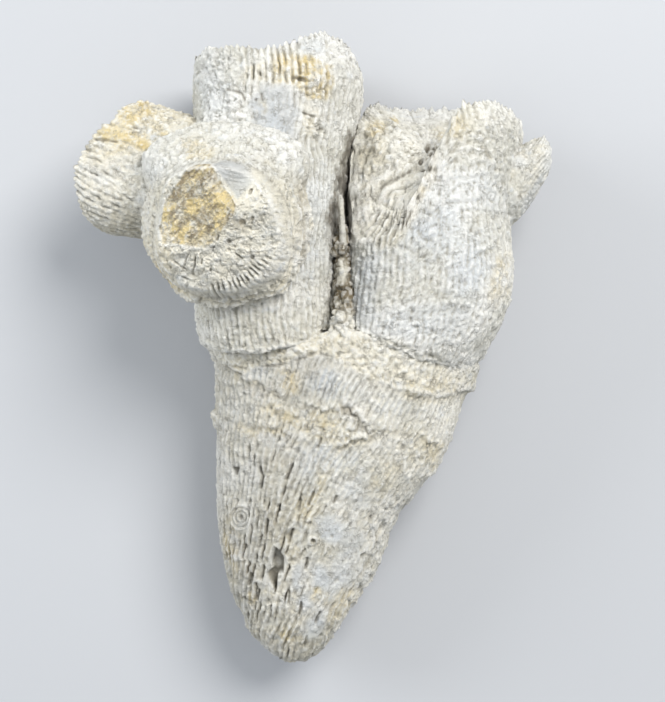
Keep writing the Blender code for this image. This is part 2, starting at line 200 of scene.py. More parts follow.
# What a limb has where its own entry doesn't say otherwise. Its end runs in to `middle`, sagging or bulging.
USUAL_LIMB = dict(origin=(0, 0, 0), axes=np.eye(3), middle=None, sag=0, bulge=0, square=ROUNDNESS)
# `grain` is the mesh's spacing in mm, and `back` how much of that fineness the unseen back has.
LIMBS = {
    "trunk": dict(
        sections=TRUNK_SECTIONS, rim=TRUNK_RIM, start=-77.2, ribs=100, grain=0.345, back=0.36, end_rows=3,
    ),
    "left_branch": dict(
        sections=LEFT_SECTIONS, rim=LEFT_RIM, start=-7, middle=(-8, 66.5, 20), sag=3,
        ribs=84, grain=0.3, back=0.35, end_rows=34,
    ),
    "right_branch": dict(
        sections=RIGHT_SECTIONS, rim=RIGHT_RIM, start=-14, middle=(27.5, 46.5, 32), sag=2, bulge=6,
        square=3.5, ribs=86, grain=0.325, back=0.35, end_rows=72,
    ),
    "side_lobe": dict(
        origin=(-22, 36, 24), axes=LOBE_AXES, sections=LOBE_SECTIONS, rim=LOBE_RIM, start=-4,
        middle=(0, 29, 0), sag=2.5, ribs=60, grain=0.28, back=0.5, end_rows=30,
    ),
    "front_knob": dict(
        origin=(-14.8, 29.5, 26), axes=KNOB_AXES, sections=KNOB_SECTIONS, rim=KNOB_RIM, start=10,
        ribs=78, grain=0.265, back=1.0, end_rows=104,
    ),
    "right_spur": dict(
        origin=(44, 34, 22), axes=SPUR_AXES, sections=SPUR_SECTIONS, rim=SPUR_RIM, start=-7,
        middle=(0.5, 17.5, 0), sag=1.5, ribs=36, grain=0.3, back=0.7, end_rows=16,
    ),
    "cleft_sediment": dict(
        sections=SEDIMENT_SECTIONS, rim=[(0, 40), (0.5, 40)], start=-4.5,
        ribs=12, grain=0.26, back=0.25, end_rows=3,
    ),
    "cleft_rod": dict(
        origin=(7.3, 25.6, 37.4), axes=ROD_AXES, sections=ROD_SECTIONS, rim=[(0, 10.2), (0.5, 10.2)],
        start=-3, ribs=7, grain=0.2, back=0.8, end_rows=4,
    ),
}


# ---------------------------------------------------------------------------------------------------
# Curves, noise and masks.


def smooth_through(knots, values, at):
    """The values at `at`, on a smooth curve through (knots, values), level past its ends."""
    knots = np.asarray(knots, float)
    values = np.asarray(values, float)
    slopes = np.gradient(values, knots)
    at = np.clip(at, knots[0], knots[-1])
    i = np.clip(np.searchsorted(knots, at, side="right") - 1, 0, len(knots) - 2)
    step = knots[i + 1] - knots[i]
    f = (at - knots[i]) / step
    rise = values[i + 1] - values[i]
    bend_in = slopes[i] * step - rise
    bend_out = rise - slopes[i + 1] * step
    return values[i] + f * rise + f * (1 - f) * ((1 - f) * bend_in + f * bend_out)


def round_limb(points, turn):
    """The values at `turn`, on a smooth closed curve through (turn, value) points round a limb."""
    points = [(t - 1, v) for t, v in points] + list(points) + [(t + 1, v) for t, v in points]
    return smooth_through([t for t, _ in points], [v for _, v in points], turn)


def line_height(line, x):
    """The Y of a crease or ledge at each X."""
    return smooth_through([p[0] for p in line], [p[1] for p in line], x)


def unit(value):
    """A value held between 0 and 1."""
    return np.clip(value, 0, 1)


def bell(value, width):
    """1 where the value is 0, falling softly to 0 on both sides."""
    return np.exp(-((value / width) ** 2))


def fading(value, reach):
    """1 up to where the value is 0, and less the further it is past that."""
    return np.exp(-np.clip(value, 0, None) / reach)


def step_up(value, low, high):
    """0 below low, 1 above high, and smooth between."""
    t = unit((value - low) / (high - low))
    return t * t * (3 - 2 * t)


def falling(value, low, high):
    """1 below low, 0 above high, and smooth between."""
    return 1 - step_up(value, low, high)


def patch(x, y, place, reach, turn=0.0, edge=0.5):
    """1 inside an ellipse at `place`, falling to 0 at its edge."""
    c, s = math.cos(math.radians(turn)), math.sin(math.radians(turn))
    dx, dy = x - place[0], y - place[1]
    far = np.hypot((dx * c + dy * s) / reach[0], (-dx * s + dy * c) / reach[1])
    return 1 - step_up(far, 1 - edge, 1 + edge * 0.3)


def lattice_random(x, y, z, seed):
    """A fixed random number from 0 to 1 for each whole-numbered place."""
    h = (x * 0x8DA6B343 + y * 0xD8163841 + z * 0xCB1AB31F + seed * 0x165667B1) & 0xFFFFFFFF
    h = ((h ^ (h >> 15)) * 0x2C1B3C6D) & 0xFFFFFFFF
    h = ((h ^ (h >> 12)) * 0x297A2D39) & 0xFFFFFFFF
    return (h ^ (h >> 15)) / 4294967296.0


def soft_noise(points, size, seed):
    """A smooth noise from -1 to 1 whose waves are about `size` long."""
    p = points / size + seed * 7.31
    base = np.floor(p).astype(np.int64)
    f = p - base
    f = f * f * f * (f * (f * 6 - 15) + 10)
    total = 0.0
    for corner in product((0, 1), repeat=3):
        share = lattice_random(*(base[..., i] + corner[i] for i in range(3)), seed)
        for i in range(3):
            share *= f[..., i] if corner[i] else 1 - f[..., i]
        total += share
    return total * 2 - 1


def rough_noise(points, size, seed, octaves=3, fade=0.55):
    """Several soft noises, each finer and weaker than the last."""
    total, height, most = 0.0, 1.0, 0.0
    for octave in range(octaves):
        total += height * soft_noise(points, size / 2**octave, seed + 17 * octave)
        most += height
        height *= fade
    return total / most * 1.5


def pebbles(points, size, seed):
    """How far the nearest of scattered centres is, in sizes, and its own random number."""
    p = points / size + seed * 3.7
    base = np.floor(p).astype(np.int64)
    near = np.full(p.shape[:-1], 9.0)
    own = np.zeros(p.shape[:-1])
    for offset in product((-1, 0, 1), repeat=3):
        cell = [base[..., i] + offset[i] for i in range(3)]
        away = sum((cell[i] + lattice_random(*cell, seed + i) - p[..., i]) ** 2 for i in range(3))
        nearer = away < near
        own = np.where(nearer, lattice_random(*cell, seed + 3), own)
        near = np.where(nearer, away, near)
    return np.sqrt(near), own


def from_line(x, y, line):
    """How far each place is from a line of straight parts."""
    best = np.full(np.shape(x), 1e9)
    for (ax, ay), (bx, by) in zip(line, line[1:]):
        run, rise = bx - ax, by - ay
        t = unit(((x - ax) * run + (y - ay) * rise) / (run * run + rise * rise))
        best = np.minimum(best, np.hypot(x - ax - t * run, y - ay - t * rise))
    return best


def within(x, y, outline, edge=0.5):
    """1 inside a closed outline and 0 outside it, softly over its edge."""
    outline = list(outline)
    closed = outline + outline[:1]
    inside = np.zeros(np.shape(x), bool)
    for (ax, ay), (bx, by) in zip(closed, closed[1:]):
        if ay != by:
            inside ^= ((ay > y) != (by > y)) & (x < (bx - ax) * (y - ay) / (by - ay) + ax)
    away = from_line(x, y, closed)
    return step_up(np.where(inside, away, -away), -edge, edge)


def cracks(x, y, lines, width=0.35):
    """1 along thin lines, falling to 0 beside them."""
    return sum(bell(from_line(x, y, line), width) for line in lines)


# ---------------------------------------------------------------------------------------------------
# The loft.


def rounded(edge, power):
    return np.sign(edge) * np.abs(edge) ** power


def section_unit(angle, front):
    """A section of half width and half depth 1, whose front left corner is as square as `front` says."""
    power = 2 / np.where((np.sin(angle) > 0) & (np.cos(angle) < 0), front, ROUNDNESS)
    return rounded(np.cos(angle), power), rounded(np.sin(angle), power)


def even_angles(turns, half_width, half_depth, front):
    """The angles that space points evenly round a section, with turn 0 at the back."""
    angle = np.linspace(-0.5 * math.pi, 1.5 * math.pi, 721)
    x, z = section_unit(angle, front)
    run = np.concatenate([[0], np.cumsum(np.hypot(half_width * np.diff(x), half_depth * np.diff(z)))])
    return np.interp(turns * run[-1], run, angle), run[-1]


def section_points(limb, along, turns, lift=0.0):
    """Points round a limb, `along` it, and `lift` outside its section, in the limb's own axes."""
    knots = [s[0] for s in limb.sections]
    left, right, back, front = (
        smooth_through(knots, [s[i] for s in limb.sections], along) for i in (1, 2, 3, 4)
    )
    half_width, half_depth = (right - left) / 2, (front - back) / 2
    angle, girth = even_angles(turns, half_width.mean(), half_depth.mean(), limb.square)
    unit_x, unit_z = section_unit(angle, limb.square)
    x = (left + right) / 2 + (half_width + lift) * unit_x
    z = (back + front) / 2 + (half_depth + lift) * unit_z
    return np.stack([x, along, z], axis=-1), girth


def column_turns(limb):
    """The turns of the mesh's columns: evenly fine over the front, and wider apart over the back."""
    _, girth = section_points(limb, np.full(8, limb.widest), np.arange(8) / 8)
    samples = np.linspace(0, 1, 2001)
    front = step_up(samples, 0.17, 0.25) * falling(samples, 0.75, 0.83)
    density = limb.back + (1 - limb.back) * front
    run = np.concatenate([[0], np.cumsum((density[1:] + density[:-1]) / 2 * np.diff(samples))])
    count = int(round(run[-1] * girth / limb.grain))
    return np.interp(np.arange(count) / count * run[-1], run, samples)


def loft(name):
    """A limb's base surface: its side rows from start to rim, then its end rows to the middle."""
    limb = SimpleNamespace(**{**USUAL_LIMB, **LIMBS[name]})
    limb.widest = max(limb.sections, key=lambda s: (s[2] - s[1]) * (s[4] - s[3]))[0]
    limb.origin = np.array(limb.origin, float)
    turns = column_turns(limb)
    rim = round_limb(limb.rim, turns)
    side_rows = int(round((rim.max() - limb.start) / limb.grain))
    points, girths = [], []
    for f in np.linspace(0, 1, side_rows):
        row, girth = section_points(limb, limb.start + f * (rim - limb.start), turns)
        points.append(row)
        girths.append(girth)
    edge = points[-1]
    middle = np.array(limb.middle, float) if limb.middle else edge.mean(axis=0)
    for t in np.linspace(0, 1, limb.end_rows + 1)[1:]:
        row = edge * (1 - t) + middle * t
        row[:, 1] -= limb.sag * 4 * t * (1 - t)
        row[:, 2] += limb.bulge * round_limb(BULGE_SHARE, turns) * 4 * t * (1 - t)
        points.append(row)
        girths.append(girths[-1])
    s = Surface(limb=limb, local=np.array(points), girth=np.array(girths)[:, None])
    s.inward = np.concatenate([np.zeros(side_rows), np.linspace(0, 1, limb.end_rows + 1)[1:]])[:, None]
    s.to_rim = rim[None, :] - s.local[..., 1]
    s.on_side = s.inward == 0
    s.turn = np.broadcast_to(turns, s.local.shape[:2])
    return s


class Surface(SimpleNamespace):
    """What is known of each point of a limb, and noises over it."""

    def noise(self, size, seed):
        return soft_noise(self.points, size, seed)

    def rough(self, size, seed, octaves=3, fade=0.55):
        return rough_noise(self.points, size, seed, octaves, fade)


def place(s, local):
    """From a limb's own axes to the coral's."""
    return local @ s.limb.axes + s.limb.origin


def facing(points):
    """Outward directions over a wrapped grid of points."""
    over = np.gradient(points, axis=0)
    across = np.roll(points, -1, axis=1) - np.roll(points, 1, axis=1)
    normal = np.cross(over, across)
    length = np.linalg.norm(normal, axis=-1, keepdims=True)
    return normal / np.maximum(length, 1e-9)


def settle(s):
    """Notes the places, directions and base noises that every limb's relief uses."""
    s.points = place(s, s.local)
    s.normal = facing(s.points)
    s.normal[-1] = s.limb.axes[1]
    s.x, s.y, s.z = s.points[..., 0], s.points[..., 1], s.points[..., 2]
    s.front = step_up(s.normal[..., 2], -0.25, 0.35)
    s.flank = step_up(s.normal[..., 2], -0.6, -0.1)
    s.wave = s.rough(8, 3, 2)
    s.stray = s.noise(2.6, 7)
    s.wx = s.x + 1.1 * s.stray
    s.wy = s.y + 1.1 * s.noise(3.1, 9)
    s.along = s.local[..., 1]
    s.rise = 0 * s.x
    return s


def strung(s, number, length, seed):
    """A noise that runs along each rib or groove by itself."""
    run = np.stack([number * 9.7, s.along / length, 0 * s.along], axis=-1)
    return soft_noise(run, 1, seed)


def spots(s, table):
    """Soft-edged washes over the front: each its share, place (X, Y), reach (X, Y) and turn."""
    washes = (share * patch(s.wx, s.wy, (x, y), (a, b), turn, 0.7) for share, x, y, a, b, turn in table)
    return s.front * sum(washes)


def creased(points, size, seed, width=0.1):
    """Thin winding creases, 1 along each, and the low rounded lumps between them."""
    n = soft_noise(points, size, seed) + 0.4 * soft_noise(points, size / 2.3, seed + 5)
    return bell(n, width), np.clip(np.abs(n) * 1.8, 0, 0.8) - 0.35


def set_ribs(s, phase, wobble=0.3, flat=0.8):
    """Where each point stands across its rib: 1 on the crest, with its broken groove and its beads."""
    phase = phase + wobble * s.wave + 0.09 * s.noise(1.9, 13)
    phase = phase + 0.13 * s.noise(0.8, 15)
    rib, gap = np.floor(phase + 0.5), np.floor(phase)
    s.crest = (0.5 + 0.5 * np.cos(TAU * phase)) ** flat
    s.own = lattice_random(rib.astype(np.int64), 0, 0, 11)
    s.bead = strung(s, rib, 1.15, 17) * s.crest
    s.gap = (0.5 - 0.5 * np.cos(TAU * phase)) ** 4 * np.clip(0.35 + 1.3 * strung(s, gap, 2.4, 19), 0, 1.4)
    s.fibre = soft_noise(np.stack([3.1 * phase, s.along / 2.6, 0 * phase], axis=-1), 1, 23)


def plain_ribs(s, wobble=0.3, flat=0.8):
    set_ribs(s, s.limb.ribs * (s.turn - 0.5), wobble, flat)


def ledge(s, line, height, reach, seed):
    """A growth ledge, ragged and thick at its lip and easing back over its reach; and how near its lip is."""
    ragged = 0.8 * s.stray + 0.5 * (s.crest - 0.5) + 0.9 * (s.own - 0.5) + 0.5 * s.noise(1.2, seed + 2)
    over = s.y - line_height(line, s.x) - ragged * 0.8
    ends = step_up(s.x, line[0][0] - 3, line[0][0] + 1) * falling(s.x, line[-1][0] - 1, line[-1][0] + 3)
    share = ends * s.flank * np.clip(0.5 + 0.9 * s.noise(6.5, seed), 0.1, 1.1)
    rise = step_up(over, -0.4, 0.7) * fading(over, reach)
    lip = bell(over - 0.8, 0.9) * (0.5 + 0.5 * s.noise(1.6, seed + 1))
    under = bell(over + 0.4, 0.3)
    return share * (height * rise + 0.35 * lip - 0.16 * under), share * bell(over, 1.8)


def swelling(s, height, reach):
    """How far a limb swells out round the foot of the front knob, above and beside it."""
    x, y, radius = KNOB_FOOT
    away = np.hypot(s.x - x, s.y - y) - radius + 0.7 * s.stray
    return height * s.front * fading(away, reach) * step_up(s.y, 26, 38)


def near_rim(s, reach, inner):
    """1 at the broken rim, less down its side over `reach`, and less over its end the larger `inner` is."""
    return np.exp(-np.abs(s.to_rim) / reach) * s.on_side + (~s.on_side) * np.exp(-s.inward * inner)


def inner_septa(s, edge, height, level, seed):
    """The septa that run in over a hollowed end, from the rim to its middle."""
    inner = (~s.on_side) * step_up(s.inward, 0.0, edge)
    rough = 0.5 * s.rough(2, seed, 3, 0.7)
    return inner, inner * (height * (s.crest - level) * (1 - s.inward) + rough)


def patches(x, y, table, turn, edge):
    """Several small patches, each (X, Y, reach in X, reach in Y)."""
    return unit(sum(patch(x, y, (a, b), (c, d), turn, edge) for a, b, c, d in table))


def hollows(lift, reach):
    """How deep each point lies below what surrounds it."""
    mean = lift.copy()
    for shift in reach:
        mean = (mean + np.roll(mean, shift, axis=1) + np.roll(mean, -shift, axis=1)) / 3
        padded = np.pad(mean, ((shift, shift), (0, 0)), mode="edge")
        mean = (mean + padded[2 * shift:] + padded[:-2 * shift]) / 3
    return np.clip((mean - lift) / 0.4, -1, 1)


# ---------------------------------------------------------------------------------------------------
# Each limb's relief: how far its surface stands out (mm), and its stains and painted shade.


def common_relief(s, rib_height=1.0, granular=0.0, beads=0.4, cut=0.45):
    """Slow waves, ribs with their beads and broken grooves, and a roughness that turns crusty."""
    sizes = bpy.context.scene.coral_sizes
    rib, grit = sizes.rib_height / MM, sizes.grit_height / MM
    rib_height = rib_height * step_up(1 - s.inward, 0.25, 0.65)
    lift = 0.3 * s.noise(15, 31) + 0.22 * s.wave + 0.16 * s.noise(4, 33)
    lift += rib_height * rib * ((0.6 + 0.8 * s.own) * (s.crest - 0.5) + beads * s.bead - cut * s.gap)
    fine = s.rough(1.0, 5, 2, 0.85)
    near = pebbles(s.points + 0.25 * s.stray[..., None], 1.0, 51)[0]
    crease, lump = creased(s.points, 1.5, 53)
    crusty = 1.3 * (0.45 - near) + 1.5 * lump - 1.4 * crease
    lift += grit * (fine * (1 + 0.5 * granular) + granular * crusty)
    return lift + 0.5 * grit * rib_height * s.fibre


def pitting(s, share, size=1.1, depth=0.6, seed=61):
    """Small scattered pits."""
    near, own = pebbles(s.points, size, seed)
    return depth * (own < share) * unit(1 - near / 0.45)


# The trunk's ribs change their way at each line where growth paused: (line, lean at the left, lean gained to
# the right, pitch, the band's middle height).
RIB_BANDS = [
    (None, 0.02, 0.5, 1.5, -5), (MIDDLE_LEDGE, 0, 0.72, 1.5, -16),
    (LOWER_LEDGE + [(22.9, -22), (33, -27)], 0.04, 0.6, 1.55, -29),
    ([(-25, -35), (-10, -38), (5, -36), (30, -38)], 0.06, 0.5, 1.6, -43),
    ([(-25, -49), (-10, -51), (5, -48), (20, -51)], 0.12, 0.36, 1.65, -56),
    ([(-25, -62), (-10, -64), (5, -61), (15, -63)], 0.2, 0.25, 1.6, -69),
]


def trunk_ribs(s):
    """Ribs that keep their pitch down the narrowing trunk, and change their lean from band to band."""
    middles = [(left + right) / 2 for _, left, right, _, _ in TRUNK_SECTIONS]
    middle = smooth_through([section[0] for section in TRUNK_SECTIONS], middles, s.along)
    across = middle - (s.turn - 0.5) * s.girth
    phase = 0
    for number, (line, lean, gain, pitch, centre) in enumerate(RIB_BANDS):
        base = 0 if line is None else line_height(line, s.x) + 1.5 * s.noise(5, 27)
        below = 1.0 if line is None else s.y < base
        slant = lean + gain * step_up(s.x, -24, 12)
        own_phase = (across - slant * (s.y - centre)) / pitch + 0.37 * number
        phase = np.where(below, own_phase, phase)
    set_ribs(s, phase, 0.35, 1.5 - 0.6 * step_up(-s.y, 20, 34))


# The trunk's growth ledges: (line, height, reach).
TRUNK_LEDGES = [(UPPER_LEDGE, 0.8, 5), (MIDDLE_LEDGE, 0.7, 6), (LOWER_LEDGE, 0.5, 6)]
KNOT_OUTLINE = [(5.6, -12.4), (9, -13), (11.2, -15.2), (14, -18.6), (12.4, -21.6), (9.4, -20), (7.6, -16.4)]
LUMP_OUTLINE = [(12.6, -11.2), (15.4, -11.6), (17.2, -12.6), (15.6, -14.2), (12.8, -12.9)]
HOLE_OUTLINE = [
    (-8.6, -47.3), (-6.6, -49.7), (-6.9, -53.4), (-8.1, -53.8), (-8.4, -55.8), (-9.1, -57.6), (-10.1, -55.6),
    (-10.6, -53.6), (-9.4, -52.4), (-9.4, -49.7),
]
PIT_OUTLINE = [(-19, -28.6), (-17.4, -28.6), (-18.2, -30.4)]
TRUNK_SEAM = [(-20.2, -22), (-20.6, -28.4), (-20.2, -29.6)]
TRUNK_SLOTS = [
    [(-12.2, -28.4), (-11.7, -30.5), (-12, -33)], [(-4.4, -27.6), (-5.8, -30.8)],
    [(-6.2, -33), (-6.8, -34.6)], [(0.3, -34.2), (-0.6, -37)], [(-2.4, -36), (-3, -38.5)],
    [(5.8, -35.2), (5.3, -36.6)], [(-15, -38), (-15, -40)], [(2.2, -21.6), (1.4, -23.6)],
    [(-2.5, -61), (-3.2, -64)], [(-16.4, -60.4), (-15.6, -61)], [(-11.5, -52), (-12, -55)],
    [(-14.6, -54), (-15.2, -56.6)], [(-12.8, -58), (-13.4, -60.4)], [(-5.2, -58), (-5.8, -61)],
    [(-1, -50), (-1.6, -52.4)], [(1.8, -63.4), (1, -66)], [(-10.4, -41), (-11, -44)],
    [(-4.6, -43), (-5.4, -46)],
]
# Steps down the outline on the right: (height, size, reach).
TRUNK_STEPS = [(-10.2, 1.1, 6), (-30.6, 0.9, 4), (-57, 0.9, 4)]
# The flat tube worm's ring: its middle, and its rings as (height, radius, width).
RING_PLACE = (-17, -40.5)
RINGS = [
    (0.3, 2.6, 0.35), (-0.35, 2.1, 0.25), (0.3, 1.6, 0.25), (-0.35, 1.15, 0.22), (0.2, 0.75, 0.25),
    (-0.5, 0, 0.4),
]
# The small tube that stands up, as (X, Y), and the bump on the left side, as (Y, Z).
TUBE_PLACE = (0.3, -45.7)
BUMP_PLACE = (-17.5, 22)
COLLAR_CRACKS = [COLLAR_CREASE, [(-23.6, -3.2), (-17.4, -5.9), (-11.9, -8.9), (-7.6, -11)]]
TRUNK_WORN = [
    (1, 3.6, -42.8, 4.4, 3.6, -35), (1, 1.6, -55, 3, 3.4, -14), (0.9, -3.6, -55, 2, 4, -10),
    (0.9, -1.6, -60.6, 2.4, 3, 0), (0.9, 0.4, -67, 3, 4.4, -30), (0.7, 7, -55, 5, 7, -30),
    (0.7, 9, -46, 5, 5, -30), (0.5, 12, -33, 5, 7, -35),
]
TRUNK_CREAM = [(1, -6, -16, 12, 3.4, -14), (1, 4, -19.5, 8, 3.5, -8), (0.8, 26, -24, 5, 4, -40)]
TRUNK_STAINS = [
    (0.5, -5.6, -7.6, 3, 4.6, 12), (0.4, -4, -17, 9, 3, -14), (0.3, 5, -20, 7, 3, -8),
    (0.3, 27, -9, 8, 2.4, -8), (0.5, 2, -59, 2.4, 2.6, 0), (0.35, -19, -46, 3, 11, 0),
    (0.35, 28, -26, 4, 5, -35), (0.3, 8.5, -61, 4, 6, -35), (0.5, -15.9, -61, 2, 2, 0),
    (0.4, -6, -69, 3, 2.6, 0), (0.3, -12, -20, 8, 2, -5), (0.3, 1.5, -33, 2, 7, -20),
    (0.25, -1, -38, 4, 6, -10), (0.25, 17, -30, 4, 8, -40),
]
TRUNK_COOL = [
    (0.9, 4, -9, 6, 4, -30), (0.7, -13, -6.6, 4, 2.4, -20), (0.6, 3, -27, 11, 8, -20),
    (0.6, 20, -14, 9, 3.4, -15), (0.5, 8, -21, 6, 4, -30), (0.3, -9, -37, 8, 8, 0), (0.4, 1, -17, 3, 2.4, 0),
]
TRUNK_BROWN = [
    (0.7, 8.6, -14.6, 2.6, 1.6, -20), (0.4, 11.4, -18, 2.2, 2.8, 0), (0.4, -15.2, -55, 3.6, 5, 0),
    (0.3, -9, -41, 4, 5, 0), (0.3, -16.5, -34.5, 2, 2, 0), (0.25, -4, -33, 3, 6, -15),
]


def trunk_relief(s):
    trunk_ribs(s)
    x, y, wx, wy = s.x, s.y, s.wx, s.wy
    fold = line_height(LEFT_CREASE + RIGHT_CREASE[1:], x)
    collar_line = line_height(COLLAR_CREASE + UPPER_LEDGE[1:], x)
    collar = s.front * step_up(wy, collar_line - 0.3, collar_line + 0.9)
    knot = within(wx, wy, KNOT_OUTLINE, 0.8) * s.front
    lumps = within(x, y, LUMP_OUTLINE, 0.6) * s.front
    cream_band = unit(spots(s, TRUNK_CREAM))
    worn = unit(spots(s, TRUNK_WORN))
    scaly = s.flank * step_up(x + 0.45 * (y + 40), 0, 12) * falling(y, -26, -18)
    lower = step_up(-y, 30, 42)
    granular = 0.95 * collar + 0.6 * cream_band + 0.9 * knot + 0.15 * scaly - 0.15 * lower + 0.25 - 0.2 * worn
    granular = unit(granular)
    ribbed = 1 - 0.9 * collar - 0.4 * cream_band - 0.8 * knot - 0.7 * worn - 0.4 * scaly - 0.35 * lower
    upper = 1 - step_up(-y, 20, 34)
    lift = common_relief(s, ribbed, granular, 0.4 - 0.35 * lower, 0.45 - 0.3 * upper)
    dash = step_up(s.gap * step_up(s.fibre + 0.4 * s.stray, -0.1, 0.4), 0.35, 0.8) * (1 - worn) * s.front
    lift = lift + 0.3 * lower * (1 - worn) * s.fibre - 0.42 * lower * dash
    brims = 0.0
    for number, (line, height, reach) in enumerate(TRUNK_LEDGES):
        rise, brim = ledge(s, line, height, reach, 201 + 7 * number)
        lift, brims = lift + rise, brims + brim
    creases = cracks(x + 0.5 * s.stray, y + 0.2 * s.wave, COLLAR_CRACKS, 0.26)
    creases = creases * s.front * step_up(s.noise(3, 215), -0.45, 0.2)
    lift -= 0.45 * creases
    own = pebbles(s.points * (1, 0.6, 1), 2.3, 91)[1]
    outer = step_up(s.normal[..., 0], 0.6, 0.9)
    for level, size, reach in TRUNK_STEPS:
        over = y - level - 0.4 * s.stray
        lift += size * outer * step_up(over, -0.3, 0.3) * fading(over, reach)
    right_edge = step_up(s.normal[..., 0], 0.45, 0.8) * step_up(-y, 32, 38)
    lift = lift + 0.35 * scaly * (own - 0.5) + 1.0 * right_edge * (own - 0.5)
    lift += 0.9 * lumps * (0.6 - pebbles(s.points, 1.9, 95)[0])
    crease, lump = creased(s.points, 3, 97)
    lift += knot * (0.9 * lump - 0.6 * crease)
    slit_zone = s.front * (0.2 + 0.8 * patch(x, y, (-9, -44), (15, 24), 0, 0.6)) * (1 - collar) * (1 - worn)
    slit = s.gap * step_up(s.gap, 0.6, 1.05) * slit_zone * step_up(s.wave, -0.5, 0.1)
    lift = lift - 0.8 * slit - pitting(s, 0.2, 1.3, 0.6) * (0.3 + granular)
    lift -= 0.9 * pitting(s, 0.05, 2.2, 1.0, 65) * lower
    hole = within(x + 0.25 * s.stray, y, HOLE_OUTLINE, 0.25) * s.front
    slots = unit(cracks(x + 0.2 * s.stray, y, TRUNK_SLOTS, 0.3)) * s.front
    pit = within(x, y, PIT_OUTLINE, 0.3) * s.front
    lift = lift * (1 - 0.8 * hole) - 2.8 * hole * (0.7 + 0.3 * step_up(-y, 52, 54)) - 1.0 * slots - 1.5 * pit
    seam = from_line(x, y, TRUNK_SEAM)
    lift += 0.5 * s.front * bell(seam, 0.8)
    far = np.hypot(x - RING_PLACE[0], (y - RING_PLACE[1]) * 0.92) * s.front + 30 * (1 - s.front)
    far = far + 0.35 * s.stray + 0.15 * s.bead
    ring = sum(h * bell(far - r, w) for h, r, w in RINGS)
    lift = np.where(far < 4.5, lift * (0.4 + 0.6 * step_up(far, 2.6, 4.2)) + ring, lift)
    tube = np.hypot(x - TUBE_PLACE[0], y - TUBE_PLACE[1]) * s.front + 30 * (1 - s.front) + 0.15 * s.stray
    lift = lift + 0.9 * bell(tube - 0.9, 0.35) - 0.8 * bell(tube, 0.5)
    bump = np.hypot((y - BUMP_PLACE[0]) / 2.3, (s.z - BUMP_PLACE[1]) / 4.2)
    bump = bump + 0.22 * s.stray + step_up(x, -20, -17)
    lift += 0.95 * falling(bump, 0.75, 1.15)
    lift = lift - 3.2 * step_up(y - fold, 0.9, 3.0) * step_up(y, -12, -6) * s.front - 2.5 * step_up(y, 3, 8)
    lift -= 0.3 * step_up(y - fold, -5, 0.5) * step_up(x, 20, 30)
    lift -= 1.6 * step_up(y - fold, -0.6, 0.8) * step_up(x, -5, 1) * falling(x, 6.5, 8.5) * s.front
    tip = s.front * lower * unit(s.gap) * patch(x, y, (-11, -50), (13, 22), 0, 0.7)
    streak = 0.6 + 0.5 * s.fibre + 0.4 * (0.5 - s.crest) * (1 - 2 * upper)
    stain = spots(s, TRUNK_STAINS) * np.clip(streak + 0.4, 0, 1.5) + 0.2 * brims
    stain += (0.1 + 0.1 * lower + 0.12 * s.wave) * (1 - worn) * (1 - 0.7 * step_up(x, 8, 20))
    brown = spots(s, TRUNK_BROWN) * unit(streak) + 0.5 * hole * step_up(-y, 52, 54.5)
    brown = brown + 0.35 * tip + 0.2 * creases
    cool = spots(s, TRUNK_COOL) * (0.7 + 0.9 * (0.6 - s.crest)) + 0.7 * worn
    cool += 0.35 * upper * (1 - collar) * (0.5 - s.crest)
    # cream also holds painted light: the trunk's right side lighter, as though lit from the right.
    cream = unit(
        0.8 * collar * (1 - 0.6 * step_up(x, 16, 26)) + 0.6 * cream_band + 0.35 * brims + 0.3 * lumps
        + 0.3 * s.crest * (1 - worn) + 0.3 * step_up(x, 8, 22)
    )
    shade = 0.4 * slots + 0.55 * pit + 0.25 * hole + 0.2 * creases + 0.4 * slit + 0.15 * tip
    shade = shade + 0.3 * bell(far, 0.5) + 0.2 * bell(far - 1.15, 0.3) + 0.06 * crease * knot
    shade += 0.36 * lower * dash
    # Painted shade: the trunk's left side darker, as though the light fell from the right.
    shade += 0.18 * step_up(4 - x + 0.3 * (y + 30), 0, 14) * s.front * (1 - collar)
    return lift, dict(brown=brown, stain=stain, cool=cool, cream=cream, dark=shade)


COMB_OUTLINE = [(-16.4, 62.4), (-15.6, 65), (-9.6, 66.2), (-1, 66.8), (1.4, 64.6), (-0.6, 62), (-9, 61.6)]
RUST_OUTLINE = [(-8.8, 61.6), (-8.6, 67.4), (-1, 67.6), (4.6, 65), (5.6, 59.4), (1, 57.4), (-2, 60.2)]
GRANULAR_OUTLINE = [(-32, 48), (-32, 72), (-17, 70), (-16.5, 60), (-12.5, 56), (-14, 44), (-20, 40)]
BLUE_OUTLINE = [(-14, 44), (-14.5, 56), (-11, 60.4), (-6, 60.6), (-3.4, 57), (-4, 50), (-6, 43)]
CAP_OUTLINE = [(-1.6, 66), (-1.6, 74), (9, 75), (10.5, 62), (4.6, 62.5), (2.8, 66)]
LEFT_CRACKS = [
    [(-0.8, 50.9), (1.2, 50.4), (3, 50.8)], [(-27, 49.6), (-24.4, 49.2), (-22, 48.2)],
    [(-2.2, 54.4), (0.8, 53.6)], [(-9, 44), (-7.4, 40), (-7.8, 36)], [(-11.4, 58.6), (-11, 55.4)],
    [(-19.8, 60), (-16, 59), (-15.4, 56)], [(-12.6, 57.4), (-12.4, 55)],
]
LEFT_CRUST = [
    (1, -18.4, 57.4, 2.8, 3, 0), (1, -17.4, 53.4, 2.6, 1.6, 0), (0.9, -18, 49.4, 4, 2.4, 0),
    (0.6, -24, 50, 4, 2, 0),
]
LEFT_STAINS = [(0.4, -11, 56, 1.2, 2.4, 0), (0.25, 0, 52, 3, 6, 0)]
LEFT_COOL = [
    (0.5, 0, 34, 6, 16, 0), (0.5, 0, 70, 4, 3, 0), (0.5, -9, 48, 3, 7, 0), (0.4, -23, 60, 6, 10, 0),
    (0.4, -4, 20, 9, 8, 0),
]
